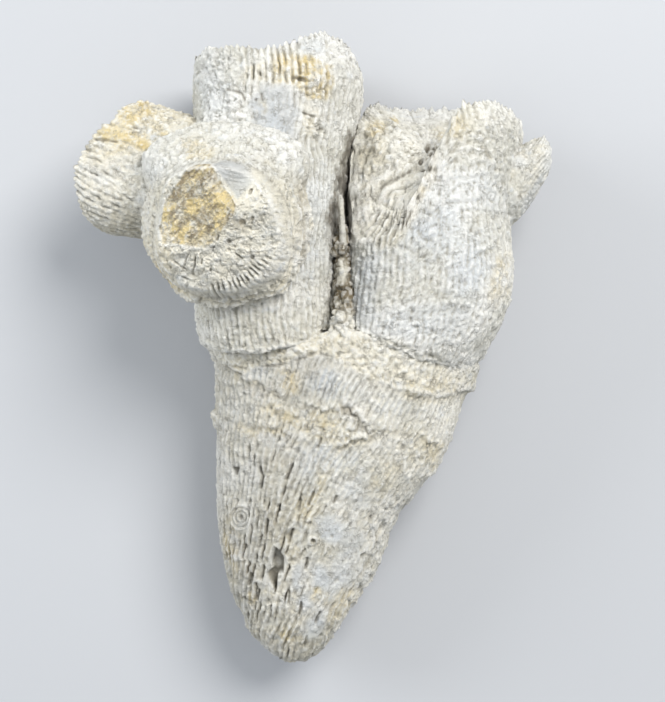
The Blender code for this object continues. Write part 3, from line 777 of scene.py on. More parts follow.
# The flank beside the cleft: painted shade from the right branch's wall, with dirt.
FLANK_SHADE_AND_DIRT_OUTLINE = [
    (8.4, 51), (12, 51), (11, 28), (8.4, 6), (5.6, 6), (5.4, 20), (3.6, 29), (4.2, 35), (5.8, 41), (7.2, 46),
]


def left_relief(s):
    x, y, wx, wy = s.x, s.y, s.wx, s.wy
    plain_ribs(s, 0.3)
    granular = within(wx, wy, GRANULAR_OUTLINE, 1.2) * s.front
    crust = unit(spots(s, LEFT_CRUST))
    comb = within(x + 0.3 * s.stray, y, COMB_OUTLINE, 0.5) * s.front * (1 - 0.8 * bell(x + 9, 0.9))
    comb *= step_up(s.wave + 0.6 * s.stray, -0.7, 0)
    rust = within(wx, wy, RUST_OUTLINE, 0.8) * s.front
    blue = within(wx, wy, BLUE_OUTLINE, 1.5) * s.front
    rubble = unit(patch(wx, wy, (0, 60.6), (4.6, 3), -25) + patch(wx, wy, (1.5, 50), (3.4, 3.2))) * s.front
    cap = within(wx, wy, CAP_OUTLINE, 0.9) * s.front
    over = y - line_height(LEFT_CREASE, x)
    hem = s.front * falling(over - 1.2 * (s.own - 0.5), 0.8, 3.0)
    side = step_up(x, 6.5, 9.5)
    ribbed = 1 - 0.93 * granular - 0.65 * blue - 0.6 * rubble - 0.7 * cap - 0.6 * hem
    crusty = unit(0.6 * granular + 0.8 * rubble + 0.45 * cap + 0.75 * hem + 0.24 + 0.25 * side + 0.5 * crust)
    lift = common_relief(s, ribbed, crusty, 0.6)
    crease, lump = creased(s.points, 1.5, 101, 0.08)
    lift = lift + crust * (0.4 + 0.6 * lump - 0.12 * crease) + rubble * (0.7 * lump - 0.4 * crease)
    cut = (1 - s.crest) * (0.15 + 0.85 * unit(s.gap)) * step_up(s.fibre + 0.5 * s.wave, -0.5, 0.2)
    lift -= (comb + 0.6 * rust * (1 - comb)) * (0.1 + 0.85 * cut)
    cavity = patch(x + 0.3 * s.stray, y, (-2.6, 62.2), (1.9, 0.6), -8, 0.6) * s.front
    lift = lift - 1.2 * cavity + 0.8 * patch(x, y, (0.6, 61.2), (1.3, 1.1), 0, 0.6) * s.front
    lift -= pitting(s, 0.16, 1.2, 0.45) * (0.4 + granular)
    edge = step_up(over, -0.4, 0.8) * fading(over, 5)
    lift += s.front * (0.35 * edge - 3 * falling(over, -1.3, 0.1))
    lift -= 3 * (1 - s.front) * falling(y, -4, 0)
    crack = cracks(x + 0.4 * s.stray, y, LEFT_CRACKS, 0.26) * s.front
    crack *= step_up(s.noise(2, 235), -0.5, 0.1)
    lift = lift - 0.55 * crack + swelling(s, 5, 3.5)
    teeth = step_up(x, -15.8, -14.8) * falling(x, -4.0, -3) * s.front
    tooth = teeth * (1.7 * (np.clip(s.crest, 0, 0.8) - 0.4) + 1.3 * (s.own - 0.5) + 0.12 * (x + 9))
    tooth += (1 - teeth) * (0.35 * (s.crest - 0.6) + 0.5 * (s.own - 0.5) + 0.6 * s.stray)
    inner, septa = inner_septa(s, 0.12, 1.2, 0.2, 237)
    s.rise = near_rim(s, 1.1, 8) * (tooth - 1.6 * bell(x + 2.7, 0.5) * s.front) + septa
    # Painted shade with dirt: the flank beside the cleft made dark and brown, and its cool wash taken off.
    flank = within(wx, wy, FLANK_SHADE_AND_DIRT_OUTLINE, 1.2) * step_up(s.z, 10, 16)
    flank *= unit(0.75 + 0.5 * s.noise(1.1, 251) + 0.3 * s.wave)
    stain = rust * (0.55 + 0.5 * (1 - s.crest)) + spots(s, LEFT_STAINS) + 0.25 * comb
    drawn = soft_noise(np.stack([x, y / 4, 0 * x], -1), 1.6, 253)
    cool = 0.95 * blue * (0.8 + 0.4 * drawn) + spots(s, LEFT_COOL)
    cream = unit(0.5 * hem + 0.25 * comb + 0.3 * s.front * falling(y, 2, 24))
    dark = 0.45 * crack + 0.5 * cavity + 0.35 * (comb + 0.7 * rust) * cut
    dark = dark + 0.25 * inner + 0.95 * flank + 0.24 * blue
    return lift, dict(
        brown=0.8 * flank + 0.3 * crack + 0.5 * cavity + 0.25 * rust * cut, stain=stain,
        cool=cool * (1 - flank), cream=cream, dark=dark,
    )


CUP_OUTLINE = [
    (8, 30), (8, 62), (31, 60), (29.6, 52), (28.8, 44), (28, 38.5), (25.4, 33.5), (23.4, 29), (20.5, 24.6),
    (16.6, 21.8), (12.6, 25.6), (10, 29.5),
]
# The two rope-like ridges across the cup, the dark pits down its cleft, and the slits at its foot.
CUP_ROPES = [[(24.6, 40.4), (21, 38.4), (16.2, 34.9)], [(22.6, 42.8), (18.6, 40.6), (15.6, 39.4)]]
CUP_CRACKS = [
    [(23.8, 38.8), (20, 36.6), (17.2, 33.6)], [(23.4, 41.2), (19.4, 39.4), (16.4, 36.8)],
    [(9.4, 37.8), (14, 37)], [(9.6, 35), (12, 35.6), (14.8, 34.8)], [(9.8, 41.8), (13.4, 41.2)],
    [(10, 46.4), (14, 46.9)],
]
CUP_PITS = [
    (27.7, 47.4, 0.9, 1.5), (29.2, 46.6, 0.7, 0.8), (29.2, 43, 0.6, 0.9), (28.8, 41, 0.7, 1.1),
    (27.2, 41, 0.5, 0.5), (26, 41.4, 0.5, 0.4), (25.7, 43.7, 0.5, 0.7), (28.2, 45.2, 0.5, 0.7),
    (28.4, 38.6, 0.5, 0.9), (24.6, 34.4, 0.5, 0.4),
]
CUP_SLITS = [
    [(22.6, 31), (21.8, 28)], [(21.5, 30.6), (20.6, 27)], [(20, 28.9), (18.9, 25.4)], [(18.4, 30), (17, 26)],
    [(16.9, 27.7), (15.6, 24.8)], [(15.9, 32.6), (14.8, 29.6)], [(19.6, 31.8), (19, 30)],
    [(17.2, 31), (16, 28.6)],
]
PEBBLY_OUTLINE = [(18, 24), (28, 36), (31, 48), (40, 52), (46, 42), (44, 26), (34, 20), (24, 18)]
HUMP_OUTLINE = [(30, 46), (34, 62), (50, 60), (50, 44), (42, 40)]
RIGHT_BAND = [(18, 12), (24, 15), (32, 18.5), (40, 22.5), (46, 28)]
RIGHT_STAINS = [
    (0.7, 15.4, 52.6, 3, 2.8, 20), (0.8, 20.2, 54.8, 1.1, 1.5, 0), (0.35, 25.6, 35.4, 1.8, 2.4, -20),
    (0.3, 12.4, 38.6, 1.8, 1.2, 0), (0.5, 44.4, 16.5, 3, 7, -8), (0.4, 33, 51, 4, 4.6, 30),
    (0.25, 14, 45, 4, 6, 0),
]
RIGHT_COOL = [
    (0.9, 24, 24, 15, 8, 25), (0.8, 36, 17, 6, 12, -25), (0.8, 12, 13, 4, 10, 0), (0.5, 26, 6, 12, 5, 0),
    (0.5, 42, 38, 6, 12, 0), (0.4, 33, 36, 6, 8, 0),
]


def cup_relief(s, cup):
    """The broken cup: a lumpy left wall, rubble, ropes, a cleft where septa meet, and a fan of slits."""
    x, y = s.x, s.y
    wall = cup * patch(x, y, (11.6, 42), (5, 17), 0, 0.6)
    top_turn = np.arctan2(y - 46, x - 27.6)
    far = np.hypot(y - 46, x - 27.6)
    septa = 0.5 + 0.5 * np.cos(TAU * (top_turn / 0.21 + 0.6 * s.wave + 0.35 * s.stray))
    top = cup * step_up(y + 0.2 * (x - 20), 46.5, 49.5) * step_up(far, 2, 6)
    foot_turn = np.arctan2(y - 39, x - 21.6)
    fan = 0.5 + 0.5 * np.cos(TAU * (foot_turn / 0.088 + 0.4 * s.wave + 0.25 * s.stray))
    foot = cup * falling(y, 30.5, 34) * step_up(x, 12, 14.5)
    rubble = cup * patch(x, y, (19.5, 43), (6.5, 6), 0, 0.6)
    near, own = pebbles(s.points, 1.5, 161)
    crease, lump = creased(s.points, 2.4, 163)
    lift = 0.8 * wall * s.noise(4.2, 165) + 0.5 * top * (septa**0.7 - 0.6) * (0.7 + 0.7 * s.stray)
    lift += foot * (0.65 * (fan - 0.6) * (0.8 + 0.6 * s.stray))
    lift += rubble * (0.9 * (0.5 - near) + 0.5 * (own - 0.5))
    lift += cup * (0.45 * lump - 0.3 * crease) * (1 - 0.6 * foot)
    rope = sum(bell(from_line(x + 0.8 * s.stray, y - 0.6 * s.stray, line), 0.75) for line in CUP_ROPES)
    thin = unit(cracks(x + 0.8 * s.stray, y - 0.6 * s.stray, CUP_CRACKS, 0.28))
    pits = patches(x + 0.4 * s.stray, y, CUP_PITS, -15, 0.6)
    slits = unit(cracks(x + 0.3 * s.stray, y, CUP_SLITS, 0.26) * foot)
    specks = rubble * (own > 0.78) * step_up(0.5 - near, 0, 0.25)
    lift += cup * (0.4 * rope * (0.7 + 0.9 * s.stray) - 0.6 * thin - 1.3 * pits - 0.7 * slits)
    lift -= 0.7 * specks
    shade = 0.35 * thin + 0.5 * pits + 0.5 * slits + 0.4 * specks + 0.2 * top * step_up(0.3 - septa, 0, 0.3)
    cleft = cup * patch(x, y, (27.6, 43.5), (2.2, 5.5), -12, 0.7)
    dirt = 0.6 * pits + 0.5 * cleft * step_up(s.stray, -0.3, 0.3) + 0.2 * foot * (1 - fan)
    return lift, shade * cup, cup * dirt


def right_relief(s):
    x, y, wx, wy = s.x, s.y, s.wx, s.wy
    plain_ribs(s, 0.35)
    inside = ~s.on_side
    cup = within(x + 0.9 * s.stray, y + 1.3 * s.stray + 1.1 * s.wave, CUP_OUTLINE, 1.1) * step_up(s.z, 12, 20)
    cup = np.where(inside, unit(cup + step_up(s.inward, 0.3, 0.5)), cup * s.front)
    pebbly = within(wx, wy, PEBBLY_OUTLINE, 2.5)
    pebbly = unit(pebbly + 0.5 * patch(wx, wy, (26, 8), (16, 9))) * s.front
    hump = within(wx, wy, HUMP_OUTLINE, 2) * s.front
    over = y - line_height(RIGHT_CREASE, x)
    bulge = over - 0.8
    inner_part = 1 - step_up(x, 29, 34)
    hem = s.front * falling(bulge, -0.3, 1.6) * inner_part
    ribbed = (0.85 - 0.3 * pebbly - 0.6 * hem - 0.35 * hump) * (1 - 0.9 * cup)
    lift = common_relief(s, ribbed, unit(0.2 + 0.45 * pebbly + 0.7 * hem + 0.4 * hump + 0.3 * cup), 1.0)
    bubbles, own = pebbles(s.points, 1.5, 121)
    lift += pebbly * (1 - cup) * 0.5 * (np.sqrt(unit(1 - bubbles**2 * 1.5)) - 0.62) * (0.5 + 0.8 * own)
    lift = lift - 3 * s.front * falling(over, -2.2, -0.6) - 3 * (1 - s.front) * falling(y, -6, -2)
    lift -= 2.4 * s.front * step_up(x, 20, 32) * fading(over + 1, 5)
    ragged = bulge - 0.5 * s.stray - 0.6 * (s.own - 0.5)
    lip = 0.7 * step_up(ragged, -0.3, 0.9) * fading(ragged, 8)
    lift += s.front * inner_part * (0.5 * lip - 0.15 * bell(ragged + 0.5, 0.35))
    band = y - line_height(RIGHT_BAND, x) + 0.6 * s.stray
    lift += s.front * step_up(x, 17, 22) * 0.3 * step_up(band, -0.5, 0.5) * fading(band, 3)
    lift -= pitting(s, 0.12, 1.2, 0.4)
    lumps = pebbles(s.points, 2.7, 141)[0]
    sharp = 1 - step_up(s.turn, 0.47, 0.49) * falling(s.turn, 0.72, 0.76)
    blunt = 1 - 0.6 * step_up(s.turn, 0.26, 0.3) * falling(s.turn, 0.42, 0.46)
    ragged = blunt * (0.9 * (s.crest - 0.6) + 0.7 * (s.own - 0.5)) + 1.5 * (0.5 - lumps) + 0.6 * s.stray
    s.rise = near_rim(s, 1.8, 10) * sharp * ragged
    cut, shade, dirt = cup_relief(s, cup)
    # Painted shade with dirt: the side by the cleft darker and browner, as the gap beside it is dark.
    side = falling(x, 8, 9.6) * falling(y, 30, 42) * s.on_side
    cream = unit(0.45 * cup + 0.8 * hem + 0.4 * patch(wx, wy, (38, 52), (5, 6)))
    return lift * (1 - 0.3 * cup) + cut, dict(
        brown=0.6 * side + dirt, stain=spots(s, RIGHT_STAINS), cool=spots(s, RIGHT_COOL) * (1 - cup),
        cream=cream, dark=shade + 0.2 * side,
    )


LOBE_STAIN_OUTLINE = [
    (-50, 51), (-41, 60.5), (-37, 59), (-38, 54), (-32.5, 47.5), (-34.5, 43.5), (-40, 46.5), (-48, 45.6),
]


LOBE_NOTCHES = [[(-51, 48.9), (-48.4, 48.6), (-45.6, 48)], [(-42, 51.6), (-40.8, 51.3)]]
LOBE_BLUE = (-38, 51)


def lobe_relief(s):
    x, y, wx, wy = s.x, s.y, s.wx, s.wy
    set_ribs(s, s.limb.ribs * (s.turn - 0.5) + 0.1 * (s.along - 20), 0.3, 0.45)
    along = s.along
    outer = step_up(along + 2.5 * s.stray + 0.35 * (30 - y), 12, 20)
    upper = step_up(wy - 0.25 * (x + 40), 46, 52) * s.front
    ribbed = (0.1 + 0.4 * outer) * (1 - 0.25 * upper)
    lift = common_relief(s, ribbed, unit(0.2 + 0.5 * (1 - outer) + 0.4 * upper))
    thin = unit(s.gap) ** 1.6 * outer * (1 - 0.45 * upper)
    lift = lift - 0.3 * thin + 0.3 * upper * s.rough(2.4, 245, 3, 0.7)
    lift -= pitting(s, 0.2, 1.2, 0.4) * (1.2 - outer)
    notch = cracks(x + 0.3 * s.stray, y, LOBE_NOTCHES, 0.24) * s.front
    lift = lift - 0.7 * notch + swelling(s, 7, 4)
    s.rise = near_rim(s, 1.2, 9) * (0.5 * (s.crest - 0.8) + 0.6 * (s.own - 0.6) + 0.4 * s.stray)
    s.rise *= (1 - 0.5 * upper)
    s.rise += inner_septa(s, 0.15, 0.8, 0.3, 239)[1]
    stain = 0.8 * within(wx, wy, LOBE_STAIN_OUTLINE, 1.6) * (0.8 + 0.5 * s.stray)
    stain *= (1 - 0.5 * patch(wx, wy, LOBE_BLUE, (3.6, 3.2)))
    stain = (1.0 * stain + 0.22) * (0.4 + 0.6 * s.front)
    cool = 0.75 * (1 - outer) + 0.55 * patch(wx, wy, LOBE_BLUE, (4, 3.6))
    cool += 0.25 * patch(wx, wy, (-44, 38), (8, 7))
    # dark holds painted shade in the rib grooves below the top, and brown a little dirt in them.
    return lift, dict(
        brown=0.25 * (1 - s.front) + 0.3 * notch + 0.12 * thin, stain=stain, cool=cool * s.front,
        cream=0.6 * upper + 0.3, dark=0.35 * notch + 0.3 * thin * step_up(54 - y, 0, 8) + 0.05 * stain,
    )


def knob_heights(s):
    """The broken faces' heights over the knob, lowest first, and where the mesh's end rows stand over it."""
    angle = TAU * s.turn - math.pi / 2
    reach = KNOB_REACH * (1 - s.inward)
    a, b = reach * np.cos(angle), reach * np.sin(angle)
    rough = s.rough(3.4, 191, 3, 0.7)
    heights = np.array([h + p * a + q * b for h, p, q in KNOB_FACETS] + [18 - 0.9 * a])
    heights[0] = heights[0] + 0.35 * s.rough(1.8, 193, 3, 0.8)
    heights[1] = heights[1] - 1.8 * patch(a, b, (6.6, -9.6), (6.4, 3.6), -10, 1.0)
    for number in (2, 3):
        lumps = pebbles(s.points, 2.6, 205 + number)[0]
        heights[number] = heights[number] + 0.5 * rough + 0.4 * (0.5 - lumps)
    return np.sort(heights, axis=0)[0], rough


# The folds of crust round its foot: (how far along it, size).
KNOB_FOLDS = [(16.4, 0.8), (19.6, 1.0), (23, 1.0)]
# Its broken end's middle, in its own axes.
KNOB_MIDDLE = (0.0, 31.0, 0.0)
KNOB_SLITS = [
    [(-5.4, 12), (-3.8, 7.6)], [(-1.4, 9.5), (1.1, 3.5)], [(-2.8, 9.2), (-0.8, 5)],
    [(-6.8, 9.6), (-5.6, 7.4)], [(-1.2, 11), (-0.4, 9)], [(-8.6, 11.6), (-5, 13.2)],
    [(-9, 8.4), (-6.4, 10.6)], [(4, 6.6), (6.4, 8.4)],
]
KNOB_PITS = [
    (6.6, 0.5, 0.9, 0.8), (8.9, -0.3, 0.5, 0.5), (8.4, -6.1, 0.5, 0.8), (8.6, 8, 0.6, 0.6),
    (3.4, 4.6, 0.5, 0.5),
]
FACET_YELLOW = [
    (-4, -3.2, 3, 2.1), (-10.6, 0, 1.8, 3), (-10.8, 3.6, 1.8, 1.4), (2.2, -4.2, 1.4, 2.2), (-6, -13, 3, 1),
]


def knob_relief(s):
    plain_ribs(s, 0.4)
    inside = ~s.on_side
    middle = np.array(KNOB_MIDDLE) @ s.limb.axes + s.limb.origin
    height, rough = knob_heights(s)
    s.rise = inside * (KNOB_TOP + height - s.along) * step_up(s.inward, -0.02, 0.14)
    u = s.x + s.rise * s.limb.axes[1][0] - middle[0]
    v = middle[1] - s.y - s.rise * s.limb.axes[1][1]
    facet = within(u + 0.3 * s.stray, v + 0.2 * s.wave, FACET_OUTLINE, 0.3) * inside
    hollow = within(u + 0.25 * s.stray, v, HOLLOW_OUTLINE, 0.4) * inside
    rest = unit(1 - facet - hollow)
    top = step_up(-v, 7, 12) * rest
    away = np.hypot(u + 1, v)
    dashes = bell(away - 15, 1.3) * step_up(v, 7, 10) * step_up(u, -3, 1)
    wall = s.on_side * step_up(-u, 9, 14) * falling(-v, 4, 9)
    crumbly = unit(rest * (1 - 0.5 * wall) * (1 - 0.5 * top))
    ribbed = unit(0.1 + 0.5 * wall + 0.45 * dashes - 0.8 * facet - hollow)
    lift = common_relief(s, ribbed * (1 - 0.8 * top), unit(0.5 * crumbly + 0.15 + 0.7 * top))
    crease, lump = creased(s.points, 2.4, 195, 0.07)
    lift = lift * (1 - 0.9 * hollow) * (1 - 0.3 * rest * inside) - 0.8 * dashes * (1 - s.crest) ** 1.5
    lift += crumbly * (0.12 * rough + 0.22 * lump - 0.08 * crease)
    lift -= (pitting(s, 0.3, 1.1, 0.4) + pitting(s, 0.3, 0.8, 0.3, 67)) * crumbly
    folds = s.along + 2.0 * s.noise(6, 241) + 0.7 * s.stray
    for level, size in KNOB_FOLDS:
        step = folds - level
        fold = size * bell(step, 1.0) - 0.8 * size * bell(step + 1.5, 0.6)
        lift += s.on_side * (1 - wall) * falling(-v, 2, 6) * fold
    fold_crease, fold_lump = creased(s.points * (0.6, 1, 1), 3, 243)
    crumple = s.on_side * step_up(v, 9, 13)
    lift += crumple * (0.9 * fold_lump - 0.3 * fold_crease)
    lift += 5 * s.on_side * step_up(-v, 8, 14) * falling(s.along, 16, 30)
    lift -= 1.8 * bell(s.turn - 0.635, 0.05) * step_up(s.along, 14, 18) * s.on_side
    lift -= 1.0 * s.on_side * step_up(u, 15, 19)
    edge = from_line(u + 0.2 * s.stray, v, FACET_OUTLINE + FACET_OUTLINE[:1])
    crust = bell(edge, 0.9) * (1 - facet) * step_up(-u, -1, 4) * (1 - 0.75 * step_up(-v, 8, 12))
    lift += 0.5 * crust * (0.7 + 0.6 * s.stray)
    ridge = bell(from_line(u + 0.15 * s.stray, v, [(-0.1, -12.4), (5.4, -3.5)]), 0.4) * inside
    brow = bell(from_line(u, v, HOLLOW_OUTLINE[:6]), 0.45) * inside
    striae = np.cos(TAU * (np.hypot(u - 7, v + 22) + 0.2 * s.stray) / 0.95)
    lift = lift + 0.4 * ridge + 0.3 * brow + 0.05 * striae * hollow
    slits = unit(cracks(u + 0.35 * s.stray, v + 0.3 * s.wave, KNOB_SLITS, 0.22))
    slits *= step_up(s.noise(1.3, 197), -0.5, 0.2)
    pits = patches(u, v, KNOB_PITS, 20, 0.5)
    lift = lift - 0.6 * slits - 0.55 * pits
    smear = rough_noise(np.stack([u + v, 0.35 * (v - u), 0 * u], -1), 1.7, 221, 3, 0.8)
    low = step_up(v + 0.3 * u, 1.5, 5)
    bright = patches(u + 0.4 * s.stray, v, FACET_YELLOW, -30, 0.8)
    brown = facet * (np.clip(0.4 - 1.2 * smear, 0, 0.85) * (1 - 0.65 * low) + 0.06) * (1 - 0.9 * bright)
    stain = facet * np.clip(1.0 + 0.5 * smear - 0.45 * low + 0.7 * bright, 0, 1.5)
    stain = stain + 0.5 * patch(u, v, (-4, -15.6), (4.6, 2.2)) + 0.3 * step_up(-u, 8, 12) * step_up(v, 0, 6)
    stain = stain + 0.25 * crumple + 0.4 * s.on_side * step_up(-u, 7, 12) * step_up(v, 7, 11)
    stain += 0.5 * ridge * step_up(v, -7, -3)
    shade = hollow * falling(u, 5, 10.5)
    white = unit(0.7 * ridge * falling(v, -7, -3) + 0.8 * crust)
    cream = 0.9 * rest * (1 - 0.7 * top) + 0.8 * hollow * step_up(u, 6, 11)
    cream = cream + 0.3 * facet + 0.4 * facet * bright
    # Painted shade with brown dirt in the crease at the knob's right foot.
    crease_stain_and_shade = bell(u - 20.2, 1.2) * s.on_side
    dark = 0.3 * slits + 0.25 * pits + 0.26 * shade + 0.45 * dashes * (1 - s.crest) ** 2
    dark += 0.04 * crease * crumbly
    cool = 0.7 * shade + 0.4 * patch(u, v, (12, 3), (4, 5)) + 0.4 * patch(u, v, (7, 10), (4, 3)) + 0.3 * top
    brown = brown * (1 - white) + 0.4 * pits + 0.3 * patch(u, v, (5.8, 1), (2.6, 2)) * rest
    brown += 0.35 * crease_stain_and_shade
    # dark also holds painted shade in the creases of the crust and the crumpled folds.
    return lift, dict(
        brown=brown, stain=stain * (1 - white), cool=cool,
        cream=unit(cream) * (1 - 0.7 * white), dark=dark + 0.1 * crease_stain_and_shade + 0.2 * crumple * fold_crease,
    )


def spur_relief(s):
    plain_ribs(s, 0.3)
    lift = common_relief(s, 0.3, 0.55)
    rim = np.exp(-np.abs(s.to_rim) / 1.5) * s.on_side
    s.rise = (~s.on_side) * (0.4 * s.crest + 0.7 * s.stray) + rim * (0.8 * s.stray + 0.5 * (s.own - 0.5))
    cream = 0.3 * patch(s.wx, s.wy, (54, 46), (5, 5))
    return lift, dict(brown=0, stain=0.1 + 0.25 * s.stray, cool=0.45, cream=cream, dark=0)


def sediment_relief(s):
    plain_ribs(s, 0.6)
    crease, lump = creased(s.points, 2.6, 301)
    lift = common_relief(s, 0.1, 1.0) + 1.0 * lump - 0.5 * crease + 0.8 * s.rough(2.8, 303, 3, 0.8)
    smooth = patch(s.x, s.y, (7, 17.4), (1.8, 3.4), 0, 0.5)
    olive = patch(s.x, s.y, (7.6, 11.4), (1.2, 2.6), 0, 0.5)
    low = 1 - step_up(s.y, 7, 9.5)
    lift = lift * (1 - 0.7 * smooth) + 0.6 * olive
    lift += 0.8 * low * patch(s.x, s.y, (6.4, 4.6), (2.4, 3.6), 0, 0.6)
    pale = unit(smooth + low)
    upper = step_up(s.y, 18, 22)
    # Painted shade: the sediment darker over its upper end, deep in the cleft's gap.
    return lift, dict(
        brown=(1 - pale) * (1.1 + 0.5 * s.stray), stain=0.5 * olive + 0.25 * upper, cool=0,
        cream=0.5 + 0.3 * low,
        dark=0.12 * (1 - pale) + 0.45 * upper * step_up(s.stray, -0.6, 0.3) + 0.5 * step_up(s.y, 27.5, 30)
        + 0.15 * crease,
    )


def rod_relief(s):
    plain_ribs(s, 0.4)
    shade = 0.15
    brown = 0.4 * shade + 0.3 * (1 - s.front)
    return 0.3 * common_relief(s, 0.3, 0.3), dict(brown=brown, stain=shade, cool=shade, cream=0.3, dark=shade)


RELIEFS = {
    "trunk": trunk_relief,
    "left_branch": left_relief,
    "right_branch": right_relief,
    "side_lobe": lobe_relief,
    "front_knob": knob_relief,
    "right_spur": spur_relief,
    "cleft_sediment": sediment_relief,
    "cleft_rod": rod_relief,
}
# How high (mm) the stone is worn flat where it lies.
WORN_FLAT = 0.15
# The colour attributes: hollow paints shade with dirt in the grooves, and dark is mostly painted shade.
STAIN_SETS = {"stains": ("hollow", "stain", "brown"), "washes": ("cool", "cream", "dark")}


def limb_points(name):
    """A limb's finished grid of points (mm) and its named stains."""
    s = settle(loft(name))
    lift, stains = RELIEFS[name](s)
    # How deep each point lies below its surroundings, which the stone paints as shade with dirt.
    stains["hollow"] = hollows(lift + s.rise, (1, 2, 3))
    points = s.points + s.normal * lift[..., None] + s.rise[..., None] * s.limb.axes[1]
    height = points[..., 2]
    points[..., 2] = np.where(height < WORN_FLAT, WORN_FLAT + 0.1 * np.tanh(height - WORN_FLAT), height)
    points[0] = points[0].mean(axis=0)
    points[-1] = points[-1].mean(axis=0)
    return points, stains


def grid_mesh(name, points, stains):
    """A closed mesh over a grid that is wrapped round and drawn together at both ends."""
    rows, columns = points.shape[:2]
    inner = points[1:-1].reshape(-1, 3)
    verts = np.concatenate([points[0, :1], inner, points[-1, :1]])
    index = 1 + np.arange((rows - 2) * columns).reshape(rows - 2, columns)
    beside = np.roll(index, -1, axis=1)
    quads = np.stack([index[:-1], index[1:], beside[1:], beside[:-1]], axis=-1).reshape(-1, 4)
    first = np.stack([np.zeros(columns, int), index[0], beside[0]], axis=-1)
    last = np.stack([np.full(columns, len(verts) - 1), beside[-1], index[-1]], axis=-1)
    mesh = bpy.data.meshes.new(name)
    mesh.vertices.add(len(verts))
    mesh.vertices.foreach_set("co", ((verts + CORAL_PLACE) * MM).astype(np.float32).ravel())
    corners = np.concatenate([quads.ravel(), first.ravel(), last.ravel()])
    sizes = np.concatenate([np.full(len(quads), 4), np.full(2 * columns, 3)])
    mesh.loops.add(len(corners))
    mesh.loops.foreach_set("vertex_index", corners.astype(np.int32))
    mesh.polygons.add(len(sizes))
    starts = np.concatenate([[0], np.cumsum(sizes)[:-1]])
    mesh.polygons.foreach_set("loop_start", starts.astype(np.int32))
    mesh.polygons.foreach_set("use_smooth", np.ones(len(sizes), bool))
    mesh.update(calc_edges=True)
    mesh.validate()
    for attribute, names in STAIN_SETS.items():
        values = np.zeros((len(verts), 4), np.float32)
        values[:, 3] = 1
        for channel, stain in enumerate(names):
            grid = np.broadcast_to(np.asarray(stains[stain], float), (rows, columns))
            values[:, channel] = np.concatenate([grid[0, :1], grid[1:-1].ravel(), grid[-1, :1]])
        layer = mesh.attributes.new(attribute, "FLOAT_COLOR", "POINT")
        layer.data.foreach_set("color", values.ravel())
    return mesh


# ---------------------------------------------------------------------------------------------------
# Shader maths.


class Value:
    """A node's output, on which sums and products add Math nodes."""

    def __init__(self, shader, socket):
        self.shader, self.socket = shader, socket

    def maths(self, operation, *others):
        values = {i: v for i, v in enumerate((self, *others))}
        return self.shader.node("ShaderNodeMath", {"operation": operation}, values)

    def __add__(self, other):
        return self.maths("ADD", other)

    def __mul__(self, other):
        return self.maths("MULTIPLY", other)

    def __sub__(self, other):
        return self.maths("SUBTRACT", other)

    def __rsub__(self, other):
        return self.shader.node("ShaderNodeMath", {"operation": "SUBTRACT"}, {0: other, 1: self})

    __radd__ = __add__
    __rmul__ = __mul__

    def between(self, low, high):
        """0 at low and 1 at high, held past them."""
        return self.shader.node(
            "ShaderNodeMapRange", {"clamp": True, "interpolation_type": "SMOOTHSTEP"},
            {"Value": self, "From Min": low, "From Max": high},
        )

    def held(self):
        return self.shader.node("ShaderNodeClamp", {}, {"Value": self})


class Shader:
    """A material's nodes."""

    def __init__(self, name):
        self.material = bpy.data.materials.new(name)
        self.material.use_nodes = True
        self.tree = self.material.node_tree
        self.principled = self.tree.nodes["Principled BSDF"]

    def node(self, kind, settings, values, output=0):
        """Adds a node with its settings and its sockets' values or links, and gives the outputs asked for."""
        node = self.tree.nodes.new(kind)
        for key, setting in settings.items():
            setattr(node, key, setting)
        for key, value in values.items():
            self.feed(node.inputs[key], value)
        if isinstance(output, tuple):
            return [Value(self, node.outputs[key]) for key in output]
        return Value(self, node.outputs[output])

    def feed(self, socket, value):
        if isinstance(value, Value):
            self.tree.links.new(value.socket, socket)
        else:
            socket.default_value = value

    def mix(self, factor, first, second):
        """One colour over another."""
        return self.node("ShaderNodeMix", {"data_type": "RGBA"}, {0: factor, 6: first, 7: second}, 2)

    def noise(self, scale, detail=4, rough=0.6):
        place = self.node("ShaderNodeTexCoord", {}, {}, "Object")
        values = {"Vector": place, "Scale": scale, "Detail": detail, "Roughness": rough}
        return self.node("ShaderNodeTexNoise", {}, values)

    def wrinkle(self, scale, width):
        """1 along thin winding lines."""
        away = self.noise(scale, 2, 0.5) - 0.5
        return away.maths("ABSOLUTE").between(width, 0)

    def attribute(self, name):
        """The three numbers of a mesh's colour attribute."""
        settings = {"attribute_type": "GEOMETRY", "attribute_name": name}
        colour = self.node("ShaderNodeAttribute", settings, {}, "Color")
        return self.node("ShaderNodeSeparateColor", {}, {0: colour}, (0, 1, 2))

    def finish(self, **sockets):
        for name, value in sockets.items():
            self.feed(self.principled.inputs[name.replace("_", " ")], value)
        return self.material


def rgba(colour, share=1.0):
    return (*(c * share for c in colour[:3]), 1)


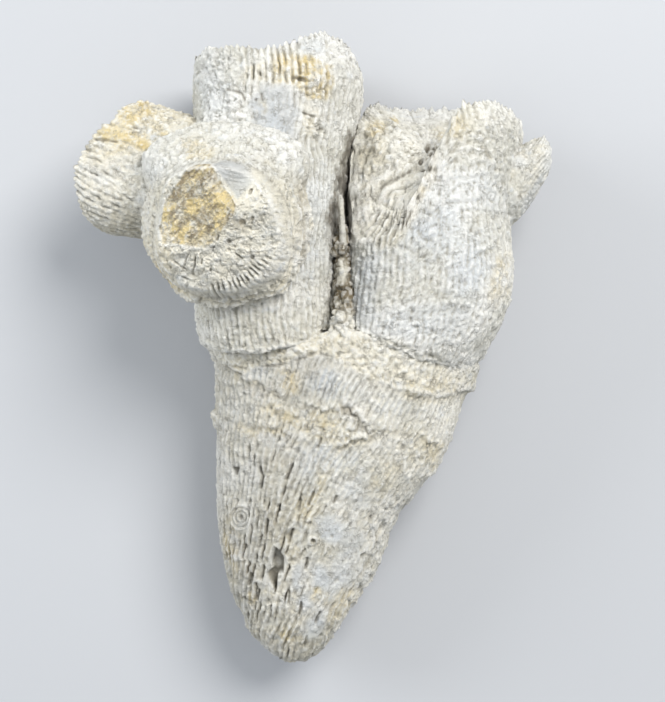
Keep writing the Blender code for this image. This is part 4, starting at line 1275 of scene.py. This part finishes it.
def coral_stone(name, tone):
    """Weathered coral stone: chalky crests, dirt and painted shade in the grooves, and washes of ochre,
    blue-grey and cream.
    """
    c = bpy.context.scene.coral_colours
    s = Shader(name)
    hollow, stain, brown = s.attribute("stains")
    cool, cream, dark = s.attribute("washes")
    cloudy = s.noise(60, 5, 0.65)
    mottled = s.noise(330, 5, 0.7)
    speckle = s.noise(1300, 3, 0.7)
    pepper = s.noise(2400, 2, 0.6)
    broken = s.noise(420, 3, 0.6).between(0.46, 0.62)
    wrinkles = s.wrinkle(720, 0.035) * broken + s.wrinkle(1500, 0.05) * (0.35 + 0.4 * broken)
    colour = s.mix(cloudy.between(0.36, 0.64), rgba(c.bone, tone), rgba(c.chalk, tone))
    colour = s.mix(mottled.between(0.58, 0.72) * 0.55, colour, rgba(c.cream, tone * 0.93))
    colour = s.mix(mottled.between(0.44, 0.3) * 0.55, colour, rgba(c.slate_white, tone * 1.02))
    colour = s.mix((cool * cloudy.between(0.25, 0.55) * 0.85).held(), colour, rgba(c.slate_white))
    colour = s.mix((cream * mottled.between(0.25, 0.6) * 0.8).held(), colour, rgba(c.cream))
    patchy = s.noise(260, 5, 0.7).between(0.34, 0.6)
    colour = s.mix((stain * patchy * 1.0).held(), colour, rgba(c.ochre))
    colour = s.mix((brown * s.noise(400, 4, 0.7).between(0.28, 0.56) * 1.05).held(), colour, rgba(c.umber))
    # Painted shade with dirt: the hollows darkened toward the groove colour.
    colour = s.mix((hollow.between(0.05, 1.1) * (0.35 + 0.5 * mottled)).held(), colour, rgba(c.groove))
    colour = s.mix((hollow.between(-0.12, -0.8) * 0.5).held(), colour, rgba(c.chalk, 1.1))
    # Painted shade with dirt in the fine wrinkles.
    colour = s.mix((wrinkles * 0.5).held(), colour, rgba(c.groove))
    # Painted shade of tiny pits, as dark specks.
    colour = s.mix((pepper.between(0.66, 0.76) * 0.6).held(), colour, rgba(c.shadow))
    colour = s.mix((pepper.between(0.36, 0.27) * 0.6).held(), colour, rgba(c.chalk, 1.12))
    # Painted shade: the dark attribute, mostly shade in slots, pits, cracks, creases and the cleft, with some
    # dark stone.
    colour = s.mix((dark * 0.9).held(), colour, rgba(c.shadow))
    height = s.noise(1500, 4, 0.75) * 0.5 + speckle * 0.6 + pepper * 0.3 - wrinkles * 0.4
    normal = s.node("ShaderNodeBump", {}, {"Strength": 0.8, "Distance": 0.0006, "Height": height})
    rough = cloudy.between(0.2, 0.8) * 0.12 + 0.8
    return s.finish(Base_Color=colour, Roughness=rough, Normal=normal, Specular_IOR_Level=0.3)


# ---------------------------------------------------------------------------------------------------
# What a user can change.


def length(name, description, default):
    return FloatProperty(
        name=name, description=description, default=default, subtype="DISTANCE", unit="LENGTH",
    )


def tint(name, description, default):
    return FloatVectorProperty(
        name=name, description=description, default=default, size=3, min=0, max=1, subtype="COLOR",
    )


class CoralSizes(PropertyGroup):
    rib_height: length("Rib height", "Height of the costae over their grooves", 0.0004)
    grit_height: length("Grit height", "Height of the fine roughness", 0.00021)


class CoralColours(PropertyGroup):
    chalk: tint("Chalk", "The whitest stone, on the crests", (0.78, 0.77, 0.73))
    bone: tint("Bone", "The stone's usual tone", (0.60, 0.585, 0.52))
    slate_white: tint("Slate white", "The cool blue-grey wash", (0.60, 0.63, 0.655))
    cream: tint("Cream", "Rough crusts", (0.74, 0.69, 0.56))
    ochre: tint("Ochre", "Iron stain", (0.68, 0.55, 0.28))
    umber: tint("Umber", "Brown sediment", (0.25, 0.20, 0.12))
    # Groove: dirt, and the painted shade that darkens the hollows and the fine wrinkles.
    groove: tint("Groove", "Dirt that lies in the grooves", (0.37, 0.345, 0.285))
    # Shadow: the painted shade of the darkest pits, slits and clefts.
    shadow: tint("Shadow", "The darkest pits", (0.11, 0.10, 0.085))


class CoralStage(PropertyGroup):
    floor: tint("Floor", "Colour of the floor", (0.50, 0.51, 0.53))
    key_power: FloatProperty(
        name="Key light", description="Power of the main soft light", default=5.8, unit="POWER",
    )
    camera_height: length("Camera height", "Height of the camera over the surface", 0.48)


# ---------------------------------------------------------------------------------------------------
# Operators.


def add_limb(limb, piece_name, tone, slot=None):
    """Adds one limb's piece. Where no slot is given, it hides the solid of the same name and stands in its
    place.
    """
    points, stains = limb_points(limb)
    mesh = grid_mesh(piece_name, points, stains)
    mesh.materials.append(coral_stone(f"{limb}_weathered_stone", tone))
    piece = bpy.data.objects.new(piece_name, mesh)
    bpy.context.scene.collection.objects.link(piece)
    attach(piece, "root")
    if slot is None:
        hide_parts(limb)
    return {"FINISHED"}


class CORAL_OT_trunk(Operator):
    """Builds the tapering trunk, with its ledges, slits, pits and tube worm's ring"""

    bl_idname = "coral.trunk"
    bl_label = "Trunk"

    def execute(self, context):
        return add_limb("trunk", "ribbed_trunk", 0.96)


class CORAL_OT_left_branch(Operator):
    """Builds the left branch, with its comb of bare septa"""

    bl_idname = "coral.left_branch"
    bl_label = "Left branch"

    def execute(self, context):
        return add_limb("left_branch", "combed_left_branch", 1.0)


class CORAL_OT_right_branch(Operator):
    """Builds the right branch, with its beaded wall and its broken cup"""

    bl_idname = "coral.right_branch"
    bl_label = "Right branch"

    def execute(self, context):
        return add_limb("right_branch", "beaded_right_branch", 1.03)


class CORAL_OT_side_lobe(Operator):
    """Builds the lobe on the left, with its strong ribs"""

    bl_idname = "coral.side_lobe"
    bl_label = "Side lobe"

    def execute(self, context):
        return add_limb("side_lobe", "ribbed_side_lobe", 1.0)


class CORAL_OT_front_knob(Operator):
    """Builds the broken knob on the front, with its facet and smooth hollow"""

    bl_idname = "coral.front_knob"
    bl_label = "Front knob"

    def execute(self, context):
        return add_limb("front_knob", "broken_front_knob", 1.0)


class CORAL_OT_right_spur(Operator):
    """Builds the thin spur on the right"""

    bl_idname = "coral.right_spur"
    bl_label = "Right spur"

    def execute(self, context):
        return add_limb("right_spur", "thin_right_spur", 1.04)


class CORAL_OT_cleft(Operator):
    """Packs the cleft between the branches with sediment, round the stub of a thin branchlet"""

    bl_idname = "coral.cleft"
    bl_label = "Cleft's sediment and branchlet"

    def execute(self, context):
        add_limb("cleft_sediment", "packed_sediment", 0.95, "trunk_stone")
        return add_limb("cleft_rod", "branchlet_stub", 1.0, "left_branch_stone")


FLOOR_SIZE = 4
# Where the soft lights aim, and each one: (name, place, size, share of the key's power, colour).
LIGHT_AIM = (0, 0, 0.02)
LIGHTS = [
    ("window", (0.3, 0.36, 0.62), 0.42, 1, (1, 0.985, 0.96)),
    ("room_fill", (-0.55, 0.2, 0.3), 0.45, 0.4, (0.95, 0.975, 1)),
]
ROOM_COLOUR = (0.9, 0.95, 1, 1)
ROOM_STRENGTH = 0.58
# The camera stands over this place (m), with this lens and sensor (mm).
CAMERA_OVER = (0.00418, 0.00055)
LENS = 96.9
SENSOR = 36


def soft_light(name, place, size, power, colour):
    """A round soft light that shines on the coral."""
    lamp = bpy.data.lights.new(name, "AREA")
    lamp.shape, lamp.size, lamp.energy, lamp.color = "DISK", size, power, colour
    lamp_object = bpy.data.objects.new(name, lamp)
    bpy.context.scene.collection.objects.link(lamp_object)
    lamp_object.location = place
    lamp_object.rotation_euler = (Vector(LIGHT_AIM) - Vector(place)).to_track_quat("-Z", "Y").to_euler()


class CORAL_OT_stage(Operator):
    """Lays the pale floor, hangs the soft lights and sets the camera straight above"""

    bl_idname = "coral.stage"
    bl_label = "Floor, lights and camera"

    def execute(self, context):
        settings = context.scene.coral_stage
        bpy.ops.mesh.primitive_plane_add(size=FLOOR_SIZE)
        floor = context.object
        floor.name = "pale_floor"
        s = Shader("pale_paper")
        cloudy = s.noise(3, 3).between(0.3, 0.7) * 0.5
        tone = s.mix(cloudy, rgba(settings.floor, 0.97), rgba(settings.floor, 1.03))
        floor.data.materials.append(s.finish(Base_Color=tone, Roughness=0.9))
        for name, place, size, share, colour in LIGHTS:
            soft_light(name, place, size, settings.key_power * share, colour)
        world = bpy.data.worlds.new("studio")
        world.use_nodes = True
        background = world.node_tree.nodes["Background"]
        background.inputs["Color"].default_value = ROOM_COLOUR
        background.inputs["Strength"].default_value = ROOM_STRENGTH
        context.scene.world = world
        context.scene.view_settings.view_transform = "Standard"
        camera = bpy.data.cameras.new("overhead_camera")
        camera.sensor_width = SENSOR
        camera.lens = LENS
        camera_object = bpy.data.objects.new("overhead_camera", camera)
        context.scene.collection.objects.link(camera_object)
        camera_object.location = (*CAMERA_OVER, settings.camera_height)
        context.scene.camera = camera_object
        return {"FINISHED"}


class CORAL_PT_panel(Panel):
    """Lists the coral's settings and its pieces"""

    bl_idname = "CORAL_PT_panel"
    bl_label = "Fossil Coral"
    bl_space_type = "VIEW_3D"
    bl_region_type = "UI"
    bl_category = "Fossil Coral"

    def draw(self, context):
        for group in (context.scene.coral_sizes, context.scene.coral_colours, context.scene.coral_stage):
            box = self.layout.box()
            for name in group.__annotations__:
                box.prop(group, name)
        for operator in OPERATORS:
            self.layout.operator(operator.bl_idname)


OPERATORS = (
    CORAL_OT_trunk, CORAL_OT_left_branch, CORAL_OT_right_branch, CORAL_OT_side_lobe, CORAL_OT_front_knob,
    CORAL_OT_right_spur, CORAL_OT_cleft, CORAL_OT_stage,
)
GROUPS = {"coral_sizes": CoralSizes, "coral_colours": CoralColours, "coral_stage": CoralStage}


def register():
    for cls in (*GROUPS.values(), *OPERATORS, CORAL_PT_panel):
        bpy.utils.register_class(cls)
    for name, group in GROUPS.items():
        setattr(bpy.types.Scene, name, PointerProperty(type=group))


def unregister():
    for name in GROUPS:
        delattr(bpy.types.Scene, name)
    for cls in reversed((*GROUPS.values(), *OPERATORS, CORAL_PT_panel)):
        bpy.utils.unregister_class(cls)


def main():
    register()
    for operator in OPERATORS:
        getattr(bpy.ops.coral, operator.bl_idname.split(".")[1])()


if __name__ == "__main__":
    main()
